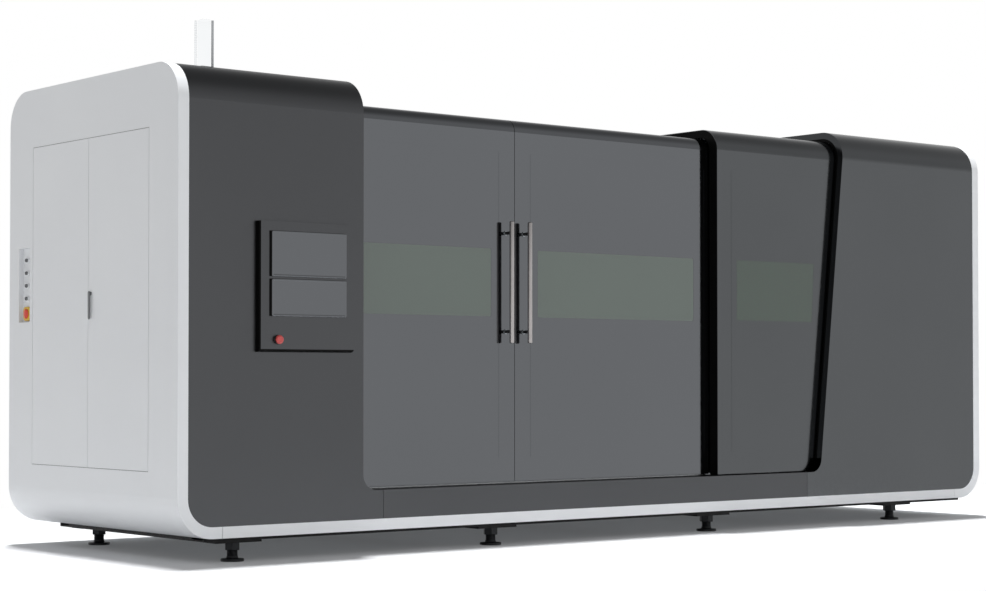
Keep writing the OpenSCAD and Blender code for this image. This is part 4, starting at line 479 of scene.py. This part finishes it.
def rear_louvres():
    """Hood over each slot: it leaves the sheet above the slot and leans out to a lip below, out = h sin(pi v / 2)
    times a round-off at both ends, with a wall's thickness. The slots are in groups of two columns."""
    across, down = 25, 9
    u, v = np.linspace(0, 1, across)[None, :], np.linspace(0, 1, down)[:, None]
    ends = np.sqrt(np.clip(1 - np.clip((np.abs(u - 0.5) - 0.44) / 0.06, 0, 1) ** 2, 0, 1))
    out = 9.0 * np.sin(np.pi * v / 2) * ends
    hood = np.stack([-96 + 192 * u + 0 * v, out, 9 - 17 * v + 0 * u], -1).reshape(-1, 3)
    back = hood + [0, 1.3, 0]
    faces, count = quads(down, across, False), across * down
    rim = np.concatenate([np.arange(across), np.arange(2 * across - 1, count, across),
                          np.arange(count - 2, count - across - 1, -1), np.arange(count - 2 * across, 0, -across)])
    wall = np.stack([rim, np.roll(rim, -1), np.roll(rim, -1) + count, rim + count], 1)
    shape = (np.concatenate([hood, back]), np.concatenate([faces, faces + count, wall]))
    groups, columns, rows = np.array([[494, 407], [494, 1505], [5006, 407]]), np.array([-110, 110]), 30 * np.arange(10)
    s = groups[:, 0, None, None] + columns[:, None] + 0 * rows
    z = groups[:, 1, None, None] + 0 * columns[:, None] + rows
    places = np.stack([LEFT + s.ravel(), np.full(s.size, reach("rear_panels")[1][1]), z.ravel()], 1)
    piece("rear_louvre_hoods", repeated(shape, places), dark_grey_paint, "machine")


def rear_screws():
    """Button-head screws along the edges of the rear panels: a dome with a socket, at even steps."""
    head = [[0, 1.2], [2.4, 1.2], [2.4, 3.0], [3.4, 3.4], [5.0, 2.9], [6.2, 1.8], [6.8, 0], [0, 0]]
    x = LEFT + np.concatenate([np.linspace(80, 960, 4), np.linspace(1030, 4640, 11), np.linspace(4720, 5420, 4)])
    rows = [190.0, 1960.0]
    places = np.stack(np.meshgrid(x, [reach("rear_panels")[1][1]], rows), -1).reshape(-1, 3)
    piece("rear_panel_screws", repeated(aimed(turned(head, 16), "+y"), places), oxide_steel, "machine")


def chuck_face():
    """Bush round the chuck's bore and six screw heads between the jaws, and two screw heads on the steps of each jaw:
    lathe shapes set on the face at even angles."""
    low, high = reach("chuck")
    x, y, z = high[0], (low[1] + high[1]) / 2, (low[2] + high[2]) / 2
    screw = [[0, 0], [9, 0], [9, 5], [8.2, 6], [5.6, 6], [5.2, 5.4], [5.2, 1.8], [0, 1.4]]
    screw = aimed(turned(screw, 24), "+x")
    turn = (np.radians([30, 150, 270])[:, None] + np.radians([-22, 22])).ravel()
    spots = np.stack([np.full(6, x), y + 165 * np.cos(turn), z + 165 * np.sin(turn)], 1)
    bush = [[41, -30], [52, -30], [52, 2.0], [50, 3.4], [43, 3.4], [41, 2.0], [41, -30]]
    bush = repeated(aimed(turned(bush, 72), "+x"), [[x, y, z]])
    piece("chuck_face_fittings", joined(repeated(screw, spots), bush), oxide_steel, "spindle")
    for k, turn in enumerate(np.radians([90, -30, 210])):
        r, rise = np.array([138, 175]), np.array([40, 20])
        spots = np.stack([x + rise, y + r * np.cos(turn), z + r * np.sin(turn)], 1)
        jaw = "jaw_%d" % (k + 1)
        piece(jaw + "_screws", repeated(screw, spots), oxide_steel, jaw)


def cladding_head():
    """Powder tubes that bow out from the nozzle to a ring on the focusing tube, a knurled collar whose radius is
    r + a |sin(n angle)|, and a window drawer with a knob."""
    low, high = reach("nozzle")
    x, y, tip = (low[0] + high[0]) / 2, (low[1] + high[1]) / 2, low[2]
    u, turn = np.linspace(0, 1, 25)[:, None], np.radians([45, 135, 225, 315])
    out = 32 + 14 * u + 16 * np.sin(np.pi * u)
    paths = np.stack([x + out * np.cos(turn), y + out * np.sin(turn), tip + 56 + 80 * u + 0 * turn], -1)
    ring = [[38, 0], [52, 0], [53.5, 1.5], [53.5, 12.5], [52, 14], [38, 14], [38, 0]]
    ring = repeated(turned(ring, 64), [[x, y, tip + 132]])
    piece("powder_tubes", joined(*[tube(paths[:, k], 3.2) for k in range(len(turn))], ring), copper, "z_slide")
    angle, h = np.linspace(0, 2 * np.pi, 144, endpoint=False), np.array([0, 0, 1.5, 16.5, 18, 18, 0])[:, None]
    r = np.array([38, 42, 43.4, 43.4, 42, 38, 38])[:, None] + 0.7 * np.abs(np.sin(36 * angle)) * (h > 1) * (h < 17)
    collar = np.stack([x + r * np.cos(angle), y + r * np.sin(angle), tip + 150 + h + 0 * angle], -1).reshape(-1, 3)
    piece("focus_collar", (collar, quads(len(h), len(angle), True)), black_satin, "z_slide")
    drawer = plate((36, 13), 3, [[0, -1], [0, 3.2], [0.8, 4.4], [2.0, 5.0]])
    knob = turned([[0, 4], [4, 4], [4, 8], [7.5, 10], [8, 14], [7.2, 16.2], [5, 17], [0, 17.2]], 24)
    place = [[x, reach("cladding_head")[0][1], tip + 220]]
    piece("window_drawer", repeated(aimed(joined(drawer, knob), "-y"), place), oxide_steel, "z_slide")


def powder_hopper():
    """Band clamp, lid knobs with lobes of radius r + a cos(5 angle), and a sight glass in a rounded frame."""
    low, high = reach("powder_hopper")
    x, y, top = high[0] - 91, (low[1] + high[1]) / 2, high[2]
    band = [[84, -10], [88, -10], [88.8, -8], [88.8, 8], [88, 10], [84, 10], [84, -10]]
    piece("hopper_band_clamp", repeated(turned(band, 72), [[x, y, top - 60]]), polished_steel, "x_carriage")
    angle = np.linspace(0, 2 * np.pi, 40, endpoint=False)
    rows = np.array([[0, -1], [5, -1], [5, 7], [11, 8], [12.5, 10], [12.5, 15], [11, 17], [0, 18]])[:, :, None]
    r = rows[:, 0] * (1 + 0.12 * np.cos(5 * angle) * (rows[:, 0] > 6))
    knob = np.stack([r * np.cos(angle), r * np.sin(angle), rows[:, 1] + 0 * angle], -1).reshape(-1, 3)
    turn = np.radians([30, 150, 270])
    spots = np.stack([x + 66 * np.cos(turn), y + 66 * np.sin(turn), np.full(3, top)], 1)
    knob = knob, quads(len(rows), len(angle), True)
    piece("hopper_lid_knobs", repeated(knob, spots), black_plastic, "x_carriage")
    glass = plate((13, 62), 12, [[0, -6], [0, 2.4], [0.8, 3.8], [2.4, 4.6], [4.6, 4.6], [5.2, 3.4]])
    piece("hopper_sight_glass", repeated(aimed(glass, "-y"), [[x, y - 85, top - 150]]), panel_pane, "x_carriage")


def control_gear():
    """Fronts in the cabinet: rounded covers with a rim on the drives, a screen and ribs on each, steps and toggles on
    the breakers, and a lid on the wire duct. Each is a rounded plate, set on the front that carries it."""
    x, y0 = reach("control_gear")[0][0], FRONT + 370
    cover_z, screen_z, rib_z, breaker_z, duct_z = 1664, 1745, 1560, 1235.0, 1380
    cover = plate((124, 52), 6, [[0, -1], [0, 3], [1, 4.6], [3, 5.4], [8, 5.4], [9, 4.4]])
    screen = plate((17, 26), 3, [[0, 3], [0, 6.2], [0.8, 7], [2.5, 7]])
    rib = plate((3, 40), 2.9, [[0, 3], [0, 6.4], [1, 7.4]])
    drive = y0 + 60 + 149.6 * np.arange(6)
    piece("drive_covers", repeated(aimed(cover, "-x"), [[x, y, cover_z] for y in drive]), tray_plastic, "machine")
    ribs = np.stack(np.meshgrid([x], drive, rib_z + 14.0 * np.arange(6)), -1).reshape(-1, 3)
    screens = repeated(aimed(screen, "-x"), [[x, y, screen_z] for y in drive])
    piece("drive_screens", joined(screens, repeated(aimed(rib, "-x"), ribs)), black_plastic, "machine")
    step = plate((36, 32), 3, [[0, -1], [0, 7], [1, 8.4], [3, 9]])
    toggle = plate((13, 7), 5, [[0, 8], [0.4, 16], [1.6, 19], [4, 20]])
    breaker = np.stack(np.meshgrid([x + 75], y0 + 35 + 99.75 * np.arange(9), [breaker_z]), -1).reshape(-1, 3)
    piece("breaker_steps", repeated(aimed(step, "-x"), breaker), tray_plastic, "machine")
    piece("breaker_toggles", repeated(aimed(toggle, "-x"), breaker), black_plastic, "machine")
    lid = plate((27, 430), 4, [[0, -1], [0, 3], [0.8, 4.2], [2, 4.8], [20, 4.8], [21, 4.0]])
    piece("wire_duct_lid", repeated(aimed(lid, "-x"), [[x + 100, y0 + 434, duct_z]]), tray_plastic, "machine")


def laser_units():
    """Pull handles of the laser units: a round profile carried on out = h (1 - |2 u - 1| ** 5) ** 0.2, a bow with
    square shoulders, and air slots as rounded ribs between them."""
    low, high = reach("laser_source")
    u = (1 - np.cos(np.linspace(0, np.pi, 41))) / 2
    out = 42 * (1 - np.abs(2 * u - 1) ** 5) ** 0.2
    bow = tube(np.stack([2 - out, 0 * u, 110 * (u - 0.5)], 1), 6.0)
    z = low[2] + 102.5 + 205 * np.arange(4)
    ends = np.stack(np.meshgrid([low[0]], [low[1] + 90, high[1] - 90], z), -1).reshape(-1, 3)
    piece("laser_unit_handles", repeated(bow, ends), polished_steel, "machine")
    rib = plate((3.2, 170), 3, [[0, -1], [0, 2.4], [1, 3.4]])
    rows = (z[:, None] + 16 * (np.arange(7) - 3)).ravel()
    slots = np.stack(np.meshgrid([low[0]], [(low[1] + high[1]) / 2], rows), -1).reshape(-1, 3)
    piece("laser_unit_air_slots", repeated(aimed(rib, "-x"), slots), black_plastic, "machine")


def motor_box():
    """Terminal box on the spindle motor: a rounded plate with a stepped lid."""
    low, high = reach("spindle_motor")
    box = plate((70, 48), 8, [[0, -16], [0, 22], [-2, 22.4], [-2, 29], [-0.6, 31], [2, 32]])
    place = [[LEFT + 1320, (low[1] + high[1]) / 2, high[2]]]
    piece("motor_terminal_box", repeated(box, place), black_satin, "machine")


for side in ("left", "right"):
    sliding_door(side)
for make in (control_box, signal_lamp, connection_recess, side_lever, side_seals, levelling_feet, rear_louvres,
             rear_screws, chuck_face, cladding_head, powder_hopper, control_gear, laser_units, motor_box):
    make()


def studio_floor():
    """White floor that fades to plain white away from the part, and is darker to bounced light at the left."""
    mat, tree, out, place = new_material("white_studio_floor")
    paper = add(tree, "ShaderNodeBsdfDiffuse", {"Color": linear("#cbccce")})
    fill = add(tree, "ShaderNodeEmission", {"Color": (0.97, 1.0, 1.03, 1), "Strength": 0.08})
    lit = add(tree, "ShaderNodeAddShader", {0: paper.outputs["BSDF"], 1: fill.outputs["Emission"]})
    white = add(tree, "ShaderNodeEmission", {"Color": (1, 1, 1, 1), "Strength": 1.0})
    oval = add(tree, "ShaderNodeMapping", {"Vector": place, "Scale": (0.62, 1.0, 1.0)})
    away = add(tree, "ShaderNodeVectorMath", {0: oval.outputs["Vector"]}, operation="LENGTH")
    far = add(tree, "ShaderNodeMapRange", {"Value": away.outputs["Value"], "From Min": 2.2, "From Max": 3.7},
              interpolation_type="SMOOTHSTEP")
    mixed = add(tree, "ShaderNodeMixShader",
                {0: far.outputs["Result"], 1: lit.outputs["Shader"], 2: white.outputs["Emission"]})
    bounced = add(tree, "ShaderNodeLightPath").outputs["Is Diffuse Ray"]
    left = add(tree, "ShaderNodeMapRange",
               {"Value": add(tree, "ShaderNodeSeparateXYZ", {0: place}).outputs["X"], "From Min": -3.2,
                "From Max": -2.6, "To Min": 0.25, "To Max": 0.0})
    held = add(tree, "ShaderNodeMath", {0: bounced, 1: left.outputs["Result"]}, operation="MULTIPLY")
    dark = add(tree, "ShaderNodeBsdfDiffuse", {"Color": (0, 0, 0, 1)})
    floor_look = add(tree, "ShaderNodeMixShader",
                     {0: held.outputs["Value"], 1: mixed.outputs["Shader"], 2: dark.outputs["BSDF"]})
    tree.links.new(floor_look.outputs["Shader"], out.inputs["Surface"])
    side = 60.0
    floor = bpy.data.meshes.new("studio_floor")
    floor.from_pydata([(-side, -side, 0), (side, -side, 0), (side, side, 0), (-side, side, 0)], [], [(0, 1, 2, 3)])
    floor.materials.append(mat)
    sheet = bpy.data.objects.new("studio_floor", floor)
    bpy.context.scene.collection.objects.link(sheet)


def light_tent():
    """World like a tent that is white up to its walls' rim, greyer above it, more so in mirrored light, dim overhead
    and dimmer at the left. The camera sees plain white."""
    world = bpy.data.worlds.new("light_tent")
    world.use_nodes = True
    bpy.context.scene.world = world
    tree = world.node_tree
    tree.nodes.clear()
    out = add(tree, "ShaderNodeOutputWorld")
    path = add(tree, "ShaderNodeLightPath")
    way = add(tree, "ShaderNodeSeparateXYZ", {0: add(tree, "ShaderNodeTexCoord").outputs["Generated"]})
    mirrored = path.outputs["Is Glossy Ray"]
    rim = add(tree, "ShaderNodeMath", {0: mirrored, 1: -0.14, 2: 0.74}, operation="MULTIPLY_ADD")
    wall = add(tree, "ShaderNodeMapRange", {"Value": way.outputs["Z"], "From Min": 0.16, "From Max": 0.21,
                                            "To Min": 1.0, "To Max": rim.outputs["Value"]})
    top = add(tree, "ShaderNodeMath", {0: mirrored, 1: 0.09, 2: 0.28}, operation="MULTIPLY_ADD")
    roof = add(tree, "ShaderNodeMapRange",
               {"Value": way.outputs["Z"], "From Min": 0.42, "From Max": 0.85, "To Min": 1.0,
                "To Max": top.outputs["Value"]}, interpolation_type="SMOOTHSTEP")
    above = add(tree, "ShaderNodeMath", {0: wall.outputs["Result"], 1: roof.outputs["Result"]}, operation="MULTIPLY")
    left = add(tree, "ShaderNodeMapRange", {"Value": way.outputs["X"], "From Min": -1.0, "From Max": 0.0,
                                            "To Min": 0.70, "To Max": 1.0})
    dim = add(tree, "ShaderNodeMath", {0: above.outputs["Value"], 1: left.outputs["Result"]}, operation="MULTIPLY")
    tent = add(tree, "ShaderNodeBackground", {"Color": (1, 1, 1, 1), "Strength": dim.outputs["Value"]})
    white = add(tree, "ShaderNodeBackground", {"Color": (1, 1, 1, 1), "Strength": 1.0})
    mixed = add(tree, "ShaderNodeMixShader", {0: path.outputs["Is Camera Ray"], 1: tent.outputs["Background"],
                                              2: white.outputs["Background"]})
    tree.links.new(mixed.outputs["Shader"], out.inputs["Surface"])


def lights():
    """A sun almost overhead, for the shadow on the floor, and a lamp each in the work area and the cabinet."""
    sun = bpy.data.lights.new("overhead_light", "SUN")
    sun.energy, sun.angle = 4.9, math.radians(4.5)
    high = bpy.data.objects.new("overhead_light", sun)
    high.rotation_euler = (-0.105, 0.054, 0.0)
    high.visible_glossy = False
    bpy.context.scene.collection.objects.link(high)
    for name, size, power, place in (("work_area_light", (3.2, 0.2), 30.0, (0.35, -0.3, 1.98)),
                                     ("cabinet_light", (0.2, 0.7), 5.0, (-2.5, 0.0, 2.1))):
        lamp = bpy.data.lights.new(name, "AREA")
        lamp.shape = "RECTANGLE"
        lamp.size, lamp.size_y = size
        lamp.energy = power
        box = bpy.data.objects.new(name, lamp)
        box.location = place
        box.visible_glossy = False
        bpy.context.scene.collection.objects.link(box)


def photo_camera():
    """Camera where the photograph was taken, with its lens shifted so that upright edges stay upright."""
    lens = bpy.data.cameras.new("photo_camera")
    lens.sensor_width = 36.0
    lens.lens = 77.86
    lens.shift_y = 0.0355
    lens.clip_end = 200.0
    camera = bpy.data.objects.new("photo_camera", lens)
    camera.location = (-7.5225, -8.806, 0.817)
    camera.rotation_euler = (math.radians(90 + 1.27), 0, math.radians(-39.17))
    bpy.context.scene.collection.objects.link(camera)
    bpy.context.scene.camera = camera
    bpy.context.scene.view_settings.view_transform = "Standard"


studio_floor()
light_tent()
lights()
photo_camera()
